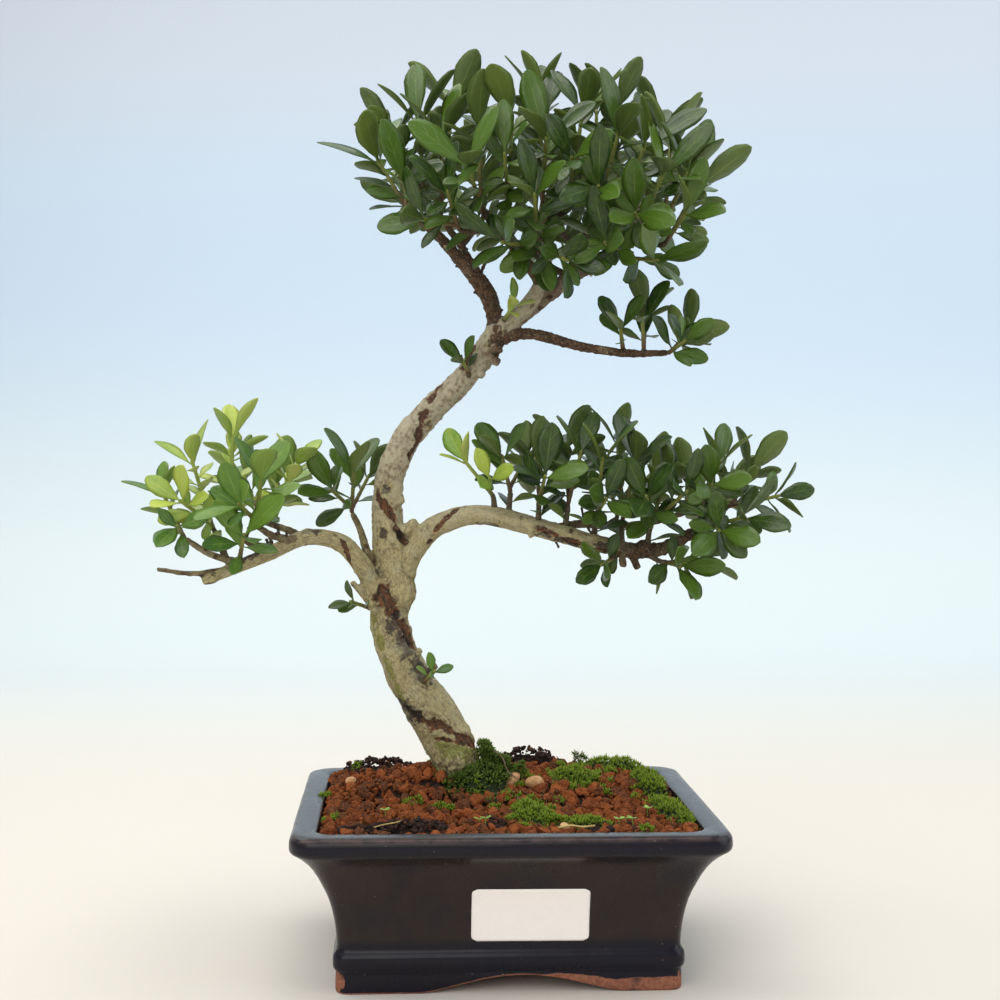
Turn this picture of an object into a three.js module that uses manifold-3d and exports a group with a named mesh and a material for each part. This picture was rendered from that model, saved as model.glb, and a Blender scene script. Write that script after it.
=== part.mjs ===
// A Japanese holly bonsai in its glazed rectangular pot. Millimetres, +Z up.
//
// The pot stands on z = 0 with its middle at x = y = 0 while everything is built, its long front
// side facing -Y. At the end the whole group is moved so that the middle of its bounding box's
// bottom is the origin.

import * as THREE from "three";
import { mergeVertices } from "three/addons/utils/BufferGeometryUtils.js";
import Module from "manifold-3d";

const wasm = await Module();
wasm.setup();

// Clearance between pieces that touch on the real object
const GAP = 0.3;

// Pot
const RIM_HALF = { x: 90, y: 74 };
const RIM_CORNER = 11;
const POT_HEIGHT = 68;
const CORNER_STEPS = 3;
// Outside of the pot, from the foot up: how far it lies inside the rim's edge, and its height
const POT_OUTSIDE = [
  { inset: 18.5, z: 0 },
  { inset: 18.5, z: 8.4 },
  { inset: 17.6, z: 10.5 },
  { inset: 17.6, z: 18.5 },
  { inset: 18.8, z: 20.5 },
  { inset: 17.8, z: 30 },
  { inset: 15.9, z: 38 },
  { inset: 13, z: 45 },
  { inset: 9.3, z: 52 },
  { inset: 4.5, z: 57.4 },
  { inset: 0, z: 61 },
  { inset: 0.6, z: 66.4 },
  { inset: 2.6, z: POT_HEIGHT },
];
// Inside of the pot, from the floor up
const FLOOR_TOP = 12;
const POT_INSIDE = [
  { inset: 25, z: FLOOR_TOP },
  { inset: 24, z: 30 },
  { inset: 19, z: 45 },
  { inset: 11.5, z: 58 },
  { inset: 11, z: POT_HEIGHT + 1 },
];
const FOOT_WALL = 6;
const FOOT_HEIGHT = 7.6;
const ARCH = { half: 38, shoulder: 30, peak: 7.3, shoulderHeight: 4.6 };
const DRAIN = { x: 34, radius: 6, sides: 12 };

// Drain mesh: a square of plastic netting over each drain hole
const NET = { size: 22, thickness: 1, holes: 2, hole: 6.5, pitch: 9 };

// Soil and what lies on it
const SOIL_TOP = 59.5;
const GROUND_LEVEL = 65.4;
const GRANULE = { pitch: 16, smallest: 4.6, largest: 6.4 };
const CRUMB = { pitch: 9, smallest: 2.6, largest: 3.4 };
const TUFT = { pitch: 8.6, radius: 2.8, height: 5, sunk: 1.2 };
// How far the repeats on a patch stand inside its edge
const PATCH_MARGIN = 4;
// Ground patches and mounds are low oval domes: middle x, middle y, half length, half width, turn
// in degrees, and rise over the ground level
const MOUNDS = [[-4, 32, 86, 44, 0, 7], [-21, 20, 25, 20, 0, 12.5]];
const MOSS_PATCHES = {
  moss_collar: [[-9, 12, 17, 16, 0, 15]],
  moss_centre: [[34, 23, 15, 16, -15, 9.5]],
  moss_front: [[10, -28, 8.5, 21, 5, 4.5], [29, -45, 15, 6.5, -4, 3]],
  moss_right: [[56, 49, 19, 9, -12, 9.5], [68, 24, 8, 26, 4, 7.5], [71, -24, 6, 25, 10, 4]],
};
// A taller sprig of moss that leans on the trunk's foot
const SPRIG = { x: -5, y: 14, height: 13 };
const BARE_SOIL_PATCHES = [
  [-55, 55, 21, 7, 0, 8],
  [16, 56.5, 18, 7, 0, 12.5],
  [-42, -53, 20, 7, 0, 3],
];
const DOME_SIDES = 9;
// A dome's outline at rising heights: its share of the full size, and of the rise
const DOME_RINGS = [{ size: 1, height: 0 }, { size: 0.8, height: 0.62 }, { size: 0.42, height: 1 }];

// Trunk, from its buried end to the crown fork: [x, y, z, radius]
const TRUNK = [
  [-14, 20, 44, 8.5],
  [-17, 19, 68, 9.6],
  [-22, 18, 86, 11.1],
  [-32, 18, 105, 10.9],
  [-41, 17, 118, 9.8],
  [-47, 16, 131, 8.8],
  [-51, 16, 145, 8.3],
  [-49, 15, 158, 9.5],
  [-49, 14, 170, 9],
  [-51.5, 13, 186, 7.2],
  [-52, 12, 200, 6.5],
  [-49.5, 11, 215, 6.3],
  [-42.5, 10, 229, 6.1],
  [-33, 9, 240, 5.9],
  [-20.5, 7, 252, 5.4],
  [-11, 6, 263.5, 5.6],
  [-3, 5, 275, 5.8],
];
const TRUNK_RINGS = 24;
const TRUNK_SIDES = 9;
// Grooves that a training wire has bitten into the bark, winding up the trunk
const WIRE_BITES = [
  { from: 0.14, to: 0.3, turns: 0.9, start: 1.1, depth: 1.3, width: 0.75 },
  { from: 0.37, to: 0.52, turns: 0.8, start: 3.5, depth: 1.2, width: 0.8 },
];

// Branches, each from inside the wood that carries it to its end: [x, y, z, radius]
const BRANCHES = {
  right: [
    [-47, 14, 166, 5.6], [-38, 11, 181, 5], [-28, 5, 190, 4.8], [-10, -3, 194, 4.4],
    [13, -10, 189, 4.1], [40, -12, 182, 3.7], [64, -10, 179, 3.1], [82, -4, 186, 2.4],
    [100, 3, 198, 1.5],
  ],
  right_back: [
    [20, -11, 188, 2], [33, 2, 190, 1.8], [47, 12, 189, 1.5], [66, 15, 190, 1.4],
    [84, 17, 195, 1.2],
  ],
  left: [
    [-52, 15, 149, 4.8], [-62, 8, 169, 4.2], [-72, 1, 181, 3.9], [-87, -6, 184, 3.4],
    [-105, -12, 176, 2.9], [-127, -17, 167, 2.3],
  ],
  left_bare: [[-118, -15, 171, 1.4], [-134, -18, 169, 1.1], [-149, -20, 171, 0.9]],
  left_tip: [[-112, -13, 173, 1.6], [-126, -18, 177, 1.4], [-137, -21, 184, 1.2]],
  left_up: [[-100, -10, 178, 1.8], [-113, -10, 183, 1.5], [-119, -9, 192, 1.2]],
  left_back: [[-86, -6, 183, 1.8], [-96, 2, 187, 1.5], [-107, 10, 190, 1.2]],
  left_front: [[-90, -8, 183, 1.8], [-100, -17, 185, 1.5], [-107, -24, 190, 1.2]],
  riser: [[-53, 12, 158, 2.6], [-60, 14, 173, 2], [-64, 18, 186, 1.5], [-68, 20, 194, 1.2]],
  upper_right: [
    [-5, 5, 272, 3], [11, 0, 274, 2.4], [32, -9, 268, 2], [52, -14, 265, 1.7],
    [69, -18, 265, 1.3],
  ],
  crown_left: [
    [-4, 5, 274, 3.6], [-7, 4, 288, 3.2], [-19, -1, 304, 2.7], [-32, -8, 317, 2.1],
    [-43, -13, 325, 1.4],
  ],
  crown_middle: [
    [-3, 5, 274, 4.2], [9, 1, 286, 3.5], [16, -4, 299, 2.8], [17, -8, 313, 2],
    [15, -8, 329, 1.4],
  ],
  crown_front: [[15, -3, 296, 2.5], [6, -13, 306, 2.2], [-4, -22, 315, 1.7], [-12, -30, 322, 1.3]],
  crown_right: [
    [4, 3, 280, 3.6], [18, 3, 291, 3.2], [31, -2, 300, 2.6], [46, -9, 309, 2.1],
    [67, -13, 321, 1.4],
  ],
  crown_back_left: [[-4, 5, 278, 2.6], [-5, 18, 292, 2.2], [-13, 24, 306, 1.8], [-28, 18, 327, 1.4]],
  crown_back_right: [
    [10, 4, 286, 2.6], [22, 16, 296, 2.3], [32, 26, 308, 1.9], [42, 25, 333, 1.4],
  ],
};
const BRANCH_SIDES = 5;
const BRANCH_RING_SPACING = 12;
// A spray whose base lies this near to a branch's end is carried by it and has no twig
const BRANCH_END_REACH = 1;

// Twigs that carry the leafy sprays
const TWIG = { start: 1.6, end: 1.1, sides: 3, reach: 11, segments: 2 };

// Leafy sprays: the end of the twig that carries each one, and the tip of each of its shoots
const SPRAYS = {
  crown_01: [[-43, -13, 325], [-56, -18, 345], [-50, -4, 360], [-45, -28, 334]],
  crown_02: [[-36, -2, 330], [-39, -6, 364], [-49, 14, 364]],
  crown_03: [[-29, -8, 329], [-29, -16, 356], [-24, 6, 374]],
  crown_04: [[-22, -25, 316], [-27, -42, 328], [-37, -36, 318]],
  crown_05: [[-12, -30, 322], [-19, -48, 338], [-14, -28, 356]],
  crown_06: [[-1, -23, 326], [0, -32, 361], [-4, -46, 343]],
  crown_07: [[12, -22, 308], [8, -50, 326], [-4, -42, 308], [22, -44, 301]],
  crown_08: [[15, -8, 329], [17, -8, 371], [14, -33, 352]],
  crown_09: [[28, -8, 331], [31, -16, 368], [24, -42, 343]],
  crown_10: [[38, -15, 327], [44, -37, 354], [34, -52, 330]],
  crown_11: [[48, -11, 325], [57, -24, 352], [48, -1, 373]],
  crown_12: [[56, -19, 319], [63, -38, 338], [50, -48, 320]],
  crown_13: [[67, -13, 321], [75, -24, 340], [72, -1, 357]],
  crown_14: [[68, -18, 313], [73, -35, 322], [82, -9, 337]],
  crown_15: [[51, -16, 306], [61, -32, 303], [38, -46, 308]],
  crown_16: [[-28, 18, 327], [-36, 34, 353], [-42, 36, 336]],
  crown_17: [[-9, 21, 331], [-12, 20, 373], [-8, 47, 358]],
  crown_18: [[18, 19, 332], [15, 14, 379], [14, 50, 364]],
  crown_19: [[42, 25, 333], [42, 22, 376], [44, 54, 360]],
  crown_20: [[59, 22, 327], [69, 22, 363], [71, 46, 347]],
  crown_21: [[14, 38, 317], [-12, 60, 332], [20, 66, 338], [50, 62, 332]],
  right_01: [[-6, -7, 203], [-18, -18, 217], [-8, -24, 210]],
  right_02: [[2, -6, 204], [-2, -14, 219], [8, 3, 217]],
  right_03: [[14, -13, 200], [15, -29, 211], [13, -5, 218]],
  right_04: [[27, -10, 199], [31, -22, 221], [27, 5, 223]],
  right_05: [[39, -15, 194], [40, -25, 218], [40, -38, 202]],
  right_06: [[51, -10, 192], [55, -20, 217], [50, 1, 226]],
  right_07: [[63, -14, 190], [57, -39, 203], [70, -14, 212], [74, -36, 205]],
  right_08: [[87, -1, 198], [94, -6, 217], [87, -26, 208]],
  right_09: [[100, 3, 198], [119, -10, 203], [112, 10, 214]],
  right_10: [[91, -6, 190], [101, -23, 194], [89, -33, 189]],
  right_11: [[70, -12, 174], [74, -24, 173], [84, -6, 176]],
  right_12: [[52, 14, 193], [49, 27, 210], [70, 29, 213]],
  right_13: [[84, 17, 195], [87, 32, 210], [105, 27, 206]],
  right_14: [[46, -16, 176], [40, -28, 174]],
  left_01: [[-119, -9, 192], [-118, -13, 227]],
  left_02: [[-126, -14, 188], [-134, -20, 216], [-137, -32, 200]],
  left_03: [[-137, -21, 184], [-146, -22, 203], [-138, -36, 190]],
  left_04: [[-107, -24, 190], [-104, -34, 209], [-112, -40, 199]],
  left_05: [[-101, 4, 193], [-92, 0, 215]],
  left_06: [[-107, 10, 190], [-116, 20, 209], [-102, 27, 206]],
  left_07: [[-114, -19, 177], [-111, -34, 186]],
  riser_01: [[-68, 20, 194], [-67, 11, 212], [-76, 4, 204], [-61, 26, 210]],
  upper_01: [[50, -14, 267], [48, -20, 275]],
  upper_02: [[59, -15, 267], [57, -23, 278], [61, -8, 284]],
  upper_03: [[69, -18, 265], [74, -28, 269], [79, -12, 274]],
  sprout_01: [[-16.5, 0, 256.5], [-19, -4, 261]],
  sprout_02: [[-1, -1, 280], [3, -8, 286]],
  sprout_03: [[-60, 9, 152], [-67, 3, 155]],
  sprout_04: [[-35, 8, 119], [-31, 2, 124]],
};
// Sprays of light green young growth, and sprays whose shoots carry a second whorl of leaves
const YOUNG_SPRAYS = ["right_01", "left_01", "left_02", "left_05", "sprout_02"];
const SECOND_WHORLS = ["left_01", "left_05", "upper_03"];
const SHOOT = { start: 1.05, end: 0.85, fork: 1.8, budLength: 2.2, bud: 0.35 };

// A whorl is three leaves, each grown from one side of its three-sided shoot. Its height along the
// shoot is counted back from the tip, and the band that the leaves grow from is as high as a leaf
// is thick.
const WHORLS = [{ back: 0.5, spread: 0.62 }, { back: 8, spread: 0.95 }];
const BAND = 0.8;
const SHOOT_SIDES = 3;

// Leaf blade: stations along it as a share of its length, with the half width there as a share of
// its full width, and its arch as a share of its length
const LEAF = {
  shortest: 19,
  longest: 25,
  slimmest: 0.44,
  broadest: 0.52,
  thickness: 0.7,
  stations: [
    { t: 0.3, half: 0.36 },
    { t: 0.65, half: 0.5 },
    { t: 0.95, half: 0.21 },
  ],
  rise: 0.1,
  droop: 0.17,
};
// Leaves that are smaller than the others, as a share of the full length
const LEAF_SCALES = {
  right_01: 0.75, right_14: 0.75, left_01: 0.85, left_02: 0.85, left_03: 0.85, left_05: 0.8,
  upper_01: 0.75, upper_02: 0.85, upper_03: 0.85,
  sprout_01: 0.65, sprout_02: 0.5, sprout_03: 0.5, sprout_04: 0.42,
};
const LEAF_ATTEMPTS = 24;
// Shoots are numbered through, with room for this many in a spray
const SHOOT_NUMBERS = 10;
const BLADE_CLEARANCE = 1.25;
const EDGE_CLEARANCE = 0.9;
const STEM_CLEARANCE = 0.85;
const OWN_STEM_REACH = 5;

const UP = new THREE.Vector3(0, 0, 1);
const vector = ([x, y, z]) => new THREE.Vector3(x, y, z);
const mix = THREE.MathUtils.lerp;

// A number from 0 to 1 that depends only on its keys, which are whole numbers.
function draw(...keys) {
  let hash = 2166136261;
  for (const key of keys) {
    hash ^= key + 0x9e3779b9;
    hash = Math.imul(hash, 16777619) >>> 0;
    hash ^= hash >>> 15;
    hash = Math.imul(hash, 0x2c1b3c6d) >>> 0;
    hash ^= hash >>> 12;
  }
  return (hash >>> 0) / 4294967296;
}

// Solids

// A closed three.js geometry as a solid, with its shared corners merged.
function solidOf(geometry) {
  geometry.deleteAttribute("normal");
  geometry.deleteAttribute("uv");
  const merged = mergeVertices(geometry, 1e-4);
  return new wasm.Manifold(
    new wasm.Mesh({
      numProp: 3,
      vertProperties: merged.attributes.position.array,
      triVerts: new Uint32Array(merged.index.array),
    }),
  );
}

const joined = (solids) => solids.reduce((whole, solid) => whole.add(solid));

// A closed skin from its corners and the corner numbers of its triangles.
function closedSkin(corners, index) {
  const geometry = new THREE.BufferGeometry();
  const coordinates = corners.flatMap((corner) => corner.toArray());
  geometry.setAttribute("position", new THREE.Float32BufferAttribute(coordinates, 3));
  geometry.setIndex(index);
  return solidOf(geometry);
}

// A skin over rings with equal numbers of corners, capped flat at its first and last ring.
function loft(rings) {
  const sides = rings[0].length;
  const index = [];
  for (let ring = 0; ring + 1 < rings.length; ring += 1) {
    for (let side = 0; side < sides; side += 1) {
      const a = ring * sides + side;
      const b = ring * sides + ((side + 1) % sides);
      index.push(a, b, b + sides, a, b + sides, a + sides);
    }
  }
  const last = (rings.length - 1) * sides;
  for (let side = 1; side + 1 < sides; side += 1) {
    index.push(0, side + 1, side, last, last + side, last + side + 1);
  }
  return closedSkin(rings.flat(), index);
}

// Corners of a rectangle with rounded corners, counterclockwise, at height z.
function roundedRectangle(halfX, halfY, radius, z) {
  const corners = [[1, 1], [-1, 1], [-1, -1], [1, -1]];
  return corners.flatMap(([signX, signY], quarter) =>
    Array.from({ length: CORNER_STEPS + 1 }, (_, step) => {
      const angle = (quarter + step / CORNER_STEPS) * (Math.PI / 2);
      return new THREE.Vector3(
        signX * (halfX - radius) + radius * Math.cos(angle),
        signY * (halfY - radius) + radius * Math.sin(angle),
        z,
      );
    }),
  );
}

// A ring of the pot at an inset from the rim's edge; its corners sharpen as it narrows.
function potRing(inset, z) {
  const radius = mix(RIM_CORNER, 5, Math.min(inset / 20, 1));
  return roundedRectangle(RIM_HALF.x - inset, RIM_HALF.y - inset, radius, z);
}

// Points and directions along a smooth curve through control points that carry a radius, with the
// radius between them.
function route(points, count) {
  const curve = new THREE.CatmullRomCurve3(points.map(vector), false, "catmullrom", 0.5);
  const spans = points.length - 1;
  return Array.from({ length: count }, (_, i) => {
    const t = i / (count - 1);
    const span = Math.min(Math.floor(t * spans), spans - 1);
    return {
      t,
      at: curve.getPoint(t),
      along: curve.getTangent(t),
      radius: mix(points[span][3], points[span + 1][3], t * spans - span),
    };
  });
}

// Rings of corners round a route, carried along it without twisting. relief, if given, moves each
// corner out or in.
function ringsAlong(stations, sides, turn = 0, relief = () => 0) {
  const { along } = stations[0];
  let normal = Math.abs(along.x) > 0.8 ? new THREE.Vector3(0, 1, 0) : new THREE.Vector3(1, 0, 0);
  return stations.map((station) => {
    normal = normal.clone().addScaledVector(station.along, -normal.dot(station.along)).normalize();
    const binormal = station.along.clone().cross(normal);
    return Array.from({ length: sides }, (_, side) => {
      const angle = (side / sides) * 2 * Math.PI;
      const reach = station.radius + relief(station.t, angle);
      return station.at
        .clone()
        .addScaledVector(normal, reach * Math.cos(angle + turn))
        .addScaledVector(binormal, reach * Math.sin(angle + turn));
    });
  });
}

const tube = (stations, sides, relief) => loft(ringsAlong(stations, sides, 0, relief));

// Pot, with its foot arches and drain holes

function archCutter() {
  const { half, shoulder, peak, shoulderHeight } = ARCH;
  const outline = [
    [-half, -1], [half, -1], [half, 1], [shoulder + 4, shoulderHeight - 1], [shoulder, shoulderHeight],
    [shoulder - 8, shoulderHeight + 1], [0, peak], [8 - shoulder, shoulderHeight + 1],
    [-shoulder, shoulderHeight], [-shoulder - 4, shoulderHeight - 1], [-half, 1],
  ];
  const shape = new THREE.Shape(outline.map(([x, z]) => new THREE.Vector2(x, z)));
  const depth = 2 * RIM_HALF.y;
  const geometry = new THREE.ExtrudeGeometry(shape, { depth, bevelEnabled: false });
  geometry.rotateX(Math.PI / 2);
  geometry.translate(0, depth / 2, 0);
  return solidOf(geometry);
}

function drainCutter(x) {
  const geometry = new THREE.CylinderGeometry(DRAIN.radius, DRAIN.radius, 2 * FLOOR_TOP, DRAIN.sides);
  geometry.rotateX(Math.PI / 2);
  geometry.translate(x, 0, FLOOR_TOP);
  return solidOf(geometry);
}

function pot() {
  const outside = loft(POT_OUTSIDE.map(({ inset, z }) => potRing(inset, z)));
  const inside = loft(POT_INSIDE.map(({ inset, z }) => potRing(inset, z)));
  const footInset = POT_OUTSIDE[0].inset + FOOT_WALL;
  const footHollow = loft([potRing(footInset, -1), potRing(footInset, FOOT_HEIGHT)]);
  return [footHollow, archCutter(), drainCutter(-DRAIN.x), drainCutter(DRAIN.x)].reduce(
    (solid, cutter) => solid.subtract(cutter),
    outside.subtract(inside),
  );
}

// Drain mesh squares, and the pocket that each one has in the soil

function box(sizeX, sizeY, sizeZ, x, y, z) {
  const geometry = new THREE.BoxGeometry(sizeX, sizeY, sizeZ);
  geometry.translate(x, y, z);
  return solidOf(geometry);
}

const NET_MIDDLE = FLOOR_TOP + GAP + NET.thickness / 2;

function drainNet(x) {
  let net = box(NET.size, NET.size, NET.thickness, x, 0, NET_MIDDLE);
  for (let row = 0; row < NET.holes; row += 1) {
    for (let column = 0; column < NET.holes; column += 1) {
      const offset = (i) => (i - (NET.holes - 1) / 2) * NET.pitch;
      const [holeX, holeY] = [x + offset(row), offset(column)];
      net = net.subtract(box(NET.hole, NET.hole, 3 * NET.thickness, holeX, holeY, NET_MIDDLE));
    }
  }
  return net;
}

function netPocket(x) {
  const side = NET.size + 2 * GAP;
  const top = FLOOR_TOP + NET.thickness + 2 * GAP;
  return box(side, side, 2 * top, x, 0, 0);
}

// Soil, and the granules, bare crumbs and moss that lie on it

// The space inside the pot's wall, kept clear of it, between two heights.
function potFilling(bottom, top) {
  const inner = POT_INSIDE.map((ring) => ring.z).filter((z) => z > bottom && z < top);
  return loft([bottom, ...inner, top].map((z) => potRing(insideInset(z) + GAP, z)));
}

function insideInset(z) {
  const last = POT_INSIDE.length - 1;
  const above = POT_INSIDE.findIndex((ring, i) => i > 0 && (ring.z >= z || i === last));
  const [lower, upper] = [POT_INSIDE[above - 1], POT_INSIDE[above]];
  return mix(lower.inset, upper.inset, Math.min(1, (z - lower.z) / (upper.z - lower.z)));
}

// A ring of an oval patch, shrunk to a share of its size and grown by an even margin.
function patchRing([x, y, halfLength, halfWidth, turn], share, margin, z) {
  const tilt = THREE.MathUtils.degToRad(turn);
  return Array.from({ length: DOME_SIDES }, (_, side) => {
    const angle = (side / DOME_SIDES) * 2 * Math.PI;
    const along = (halfLength * share + margin) * Math.cos(angle);
    const across = (halfWidth * share + margin) * Math.sin(angle);
    return new THREE.Vector3(
      x + along * Math.cos(tilt) - across * Math.sin(tilt),
      y + along * Math.sin(tilt) + across * Math.cos(tilt),
      z,
    );
  });
}

function dome(patch, bottom) {
  const rise = patch[5];
  const rings = DOME_RINGS.map(({ size, height }) =>
    patchRing(patch, size, 0, GROUND_LEVEL + rise * height),
  );
  return loft([patchRing(patch, 1, 0, bottom), ...rings]);
}

// The upright space that a patch takes out of the ground around it.
const patchSpace = (patch) => loft([0, 2 * POT_HEIGHT].map((z) => patchRing(patch, 1, GAP, z)));

// A point's distance from a patch's middle as a share of the way to its edge, grown by a margin.
function patchShare({ x, y }, [middleX, middleY, halfLength, halfWidth, turn], margin = 0) {
  const tilt = THREE.MathUtils.degToRad(turn);
  const along = (x - middleX) * Math.cos(tilt) + (y - middleY) * Math.sin(tilt);
  const across = (y - middleY) * Math.cos(tilt) - (x - middleX) * Math.sin(tilt);
  return Math.hypot(along / (halfLength + margin), across / (halfWidth + margin));
}

function domeHeight(place, patch) {
  const share = patchShare(place, patch);
  const above = DOME_RINGS.findIndex((ring) => ring.size <= share);
  if (above === 0) return GROUND_LEVEL;
  if (above < 0) return GROUND_LEVEL + patch[5];
  const [outer, inner] = [DOME_RINGS[above - 1], DOME_RINGS[above]];
  const height = mix(outer.height, inner.height, (outer.size - share) / (outer.size - inner.size));
  return GROUND_LEVEL + patch[5] * height;
}

// Places on a loose grid over the pot's opening, off its wall, each with its own number.
function scattered(pitch, seed) {
  const wall = POT_INSIDE.at(-1).inset + pitch / 2;
  const columns = Math.ceil(RIM_HALF.x / pitch);
  const rows = Math.ceil(RIM_HALF.y / pitch);
  const places = [];
  for (let row = -rows; row <= rows; row += 1) {
    for (let column = -columns; column <= columns; column += 1) {
      const number = (row + rows) * 100 + column + columns;
      const stagger = row % 2 ? 0.5 : 0;
      places.push({
        number,
        x: (column + stagger + 0.3 * (draw(seed, number, 1) - 0.5)) * pitch,
        y: (row + 0.3 * (draw(seed, number, 2) - 0.5)) * pitch * 0.88,
      });
    }
  }
  const offWall = ({ x, y }) => Math.abs(x) < RIM_HALF.x - wall && Math.abs(y) < RIM_HALF.y - wall;
  return places.filter(offWall);
}

// A rough stone, half sunk in the ground.
function stone({ number, x, y, z }, { smallest, largest }, seed) {
  const size = mix(smallest, largest, draw(seed, number, 3));
  const geometry = new THREE.OctahedronGeometry(size, 0);
  geometry.scale(1.2 + 0.3 * draw(seed, number, 4), 1.15, 0.85 + 0.2 * draw(seed, number, 5));
  geometry.rotateX(0.5 + 0.6 * draw(seed, number, 6));
  geometry.rotateZ(draw(seed, number, 7) * Math.PI);
  geometry.translate(x, y, z + 0.1 * size);
  return solidOf(geometry);
}

// A tuft of moss: a three-sided point that stands out of its cushion.
function tuft({ number, x, y, z, height = TUFT.height * (0.8 + 0.4 * draw(21, number, 3)) }) {
  const geometry = new THREE.ConeGeometry(TUFT.radius, height, 3);
  geometry.rotateX(Math.PI / 2);
  geometry.rotateZ(draw(21, number, 4) * 2 * Math.PI);
  geometry.translate(x, y, z + height / 2 - TUFT.sunk);
  return solidOf(geometry);
}

// Whether a place lies inside one of the patches, each grown by a margin.
const within = (patches, margin) => (place) =>
  patches.some((patch) => patchShare(place, patch, margin) < 1);

function onDomes(places, domes) {
  const topAt = (place) => Math.max(...domes.map((patch) => domeHeight(place, patch)));
  return places.map((place) => ({ ...place, z: topAt(place) }));
}

// A group of domes with the repeats that stand on them, kept off the pot's wall.
function patchSolid(patches, repeats, floor = SOIL_TOP + GAP) {
  const domes = patches.map((patch) => dome(patch, floor));
  return joined([...domes, ...repeats]).intersect(potFilling(floor, 2 * POT_HEIGHT));
}

function groundCover(trunkHole) {
  const mossPatches = Object.values(MOSS_PATCHES).flat();
  const takenPatches = [...mossPatches, ...BARE_SOIL_PATCHES];
  const withoutPatches = (solid, patches) =>
    patches.reduce((rest, patch) => rest.subtract(patchSpace(patch)), solid);
  const cover = {};

  const granulePlaces = scattered(GRANULE.pitch, 11).filter((place) => !within(takenPatches, 2)(place));
  const granules = onDomes(granulePlaces, MOUNDS).map((place) => stone(place, GRANULE, 11));
  const bed = [potFilling(SOIL_TOP + GAP, GROUND_LEVEL), ...granules];
  cover.akadama = withoutPatches(patchSolid(MOUNDS, bed), takenPatches).subtract(trunkHole);

  for (const [name, patches] of Object.entries(MOSS_PATCHES)) {
    const places = [...scattered(TUFT.pitch, 21), { ...SPRIG, number: 0 }];
    const tufts = onDomes(places.filter(within(patches, -PATCH_MARGIN)), patches).map(tuft);
    cover[name] = patchSolid(patches, tufts).subtract(trunkHole);
  }

  const crumbPlaces = scattered(CRUMB.pitch, 31).filter(within(BARE_SOIL_PATCHES, -PATCH_MARGIN));
  const crumbs = onDomes(crumbPlaces, BARE_SOIL_PATCHES).map((place) => stone(place, CRUMB, 31));
  const bare = withoutPatches(patchSolid(BARE_SOIL_PATCHES, crumbs, SOIL_TOP - 1), mossPatches);
  cover.soil = joined([potFilling(FLOOR_TOP + GAP, SOIL_TOP), bare])
    .subtract(netPocket(-DRAIN.x))
    .subtract(netPocket(DRAIN.x))
    .subtract(trunkHole);
  return cover;
}

// Trunk, branches and the twigs that carry the sprays

// How deep the wire bites are at a share of the trunk's length and an angle round it.
function wireBite(t, angle) {
  return WIRE_BITES.reduce((relief, { from, to, turns, start, depth, width }) => {
    if (t < from || t > to) return relief;
    const line = start + (turns * 2 * Math.PI * (t - from)) / (to - from);
    const turned = THREE.MathUtils.euclideanModulo(angle - line + Math.PI, 2 * Math.PI);
    return relief - depth * Math.max(0, 1 - Math.abs(turned - Math.PI) / width);
  }, 0);
}

function branchRoute(points) {
  const length = new THREE.CatmullRomCurve3(points.map(vector)).getLength();
  return route(points, Math.max(3, Math.round(length / BRANCH_RING_SPACING) + 1));
}

const trunkRoute = route(TRUNK, TRUNK_RINGS);
const branchRoutes = Object.values(BRANCHES).map(branchRoute);

const branchEnds = branchRoutes.map((stations) => stations.at(-1));
const branchEndAt = (point) => branchEnds.find(({ at }) => at.distanceTo(point) < BRANCH_END_REACH);

// The way a spray grows: on from the branch that ends at its base, or else from the end of its own
// twig to the middle of its shoots' tips.
function sprayDirection([base, ...tips]) {
  const carrier = branchEndAt(vector(base));
  if (carrier) return carrier.along;
  const sum = tips.reduce((total, tip) => total.add(vector(tip)), new THREE.Vector3());
  return sum.divideScalar(tips.length).sub(vector(base)).normalize();
}

// The point of the wood's middle line that lies nearest to a place.
function nearestWood(place) {
  const nearest = [trunkRoute, ...branchRoutes].flatMap((stations) =>
    stations.slice(1).map(({ at }, i) =>
      new THREE.Line3(stations[i].at, at).closestPointToPoint(place, true, new THREE.Vector3()),
    ),
  );
  return nearest.reduce((best, point) =>
    point.distanceTo(place) < best.distanceTo(place) ? point : best,
  );
}

// A twig leaves the wood where that lies nearest behind the spray, and ends along the spray.
function twigRoute(spray) {
  const base = vector(spray[0]);
  const ahead = sprayDirection(spray);
  const start = nearestWood(base.clone().addScaledVector(ahead, -TWIG.reach));
  const length = start.distanceTo(base);
  const curve = new THREE.CubicBezierCurve3(
    start,
    start.clone().lerp(base, 0.35),
    base.clone().addScaledVector(ahead, -0.35 * length),
    base,
  );
  return Array.from({ length: TWIG.segments + 1 }, (_, i) => {
    const t = i / TWIG.segments;
    return { t, at: curve.getPoint(t), along: curve.getTangent(t), radius: mix(TWIG.start, TWIG.end, t) };
  });
}

const twigRoutes = Object.values(SPRAYS)
  .filter(([base]) => !branchEndAt(vector(base)))
  .map(twigRoute);

function wood() {
  return joined([
    tube(trunkRoute, TRUNK_SIDES, wireBite),
    ...branchRoutes.map((stations) => tube(stations, BRANCH_SIDES)),
    ...twigRoutes.map((stations) => tube(stations, TWIG.sides)),
  ]);
}

// The hole in the ground that the trunk stands in.
function trunkHole() {
  const below = trunkRoute.filter(({ at }) => at.z < 2 * POT_HEIGHT);
  const wider = below.map((station) => ({ ...station, radius: station.radius + GAP + 0.1 }));
  wider[0].at = wider[0].at.clone().addScaledVector(wider[0].along, -GAP);
  return tube(wider, TRUNK_SIDES);
}

// Shoots and leaves

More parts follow.
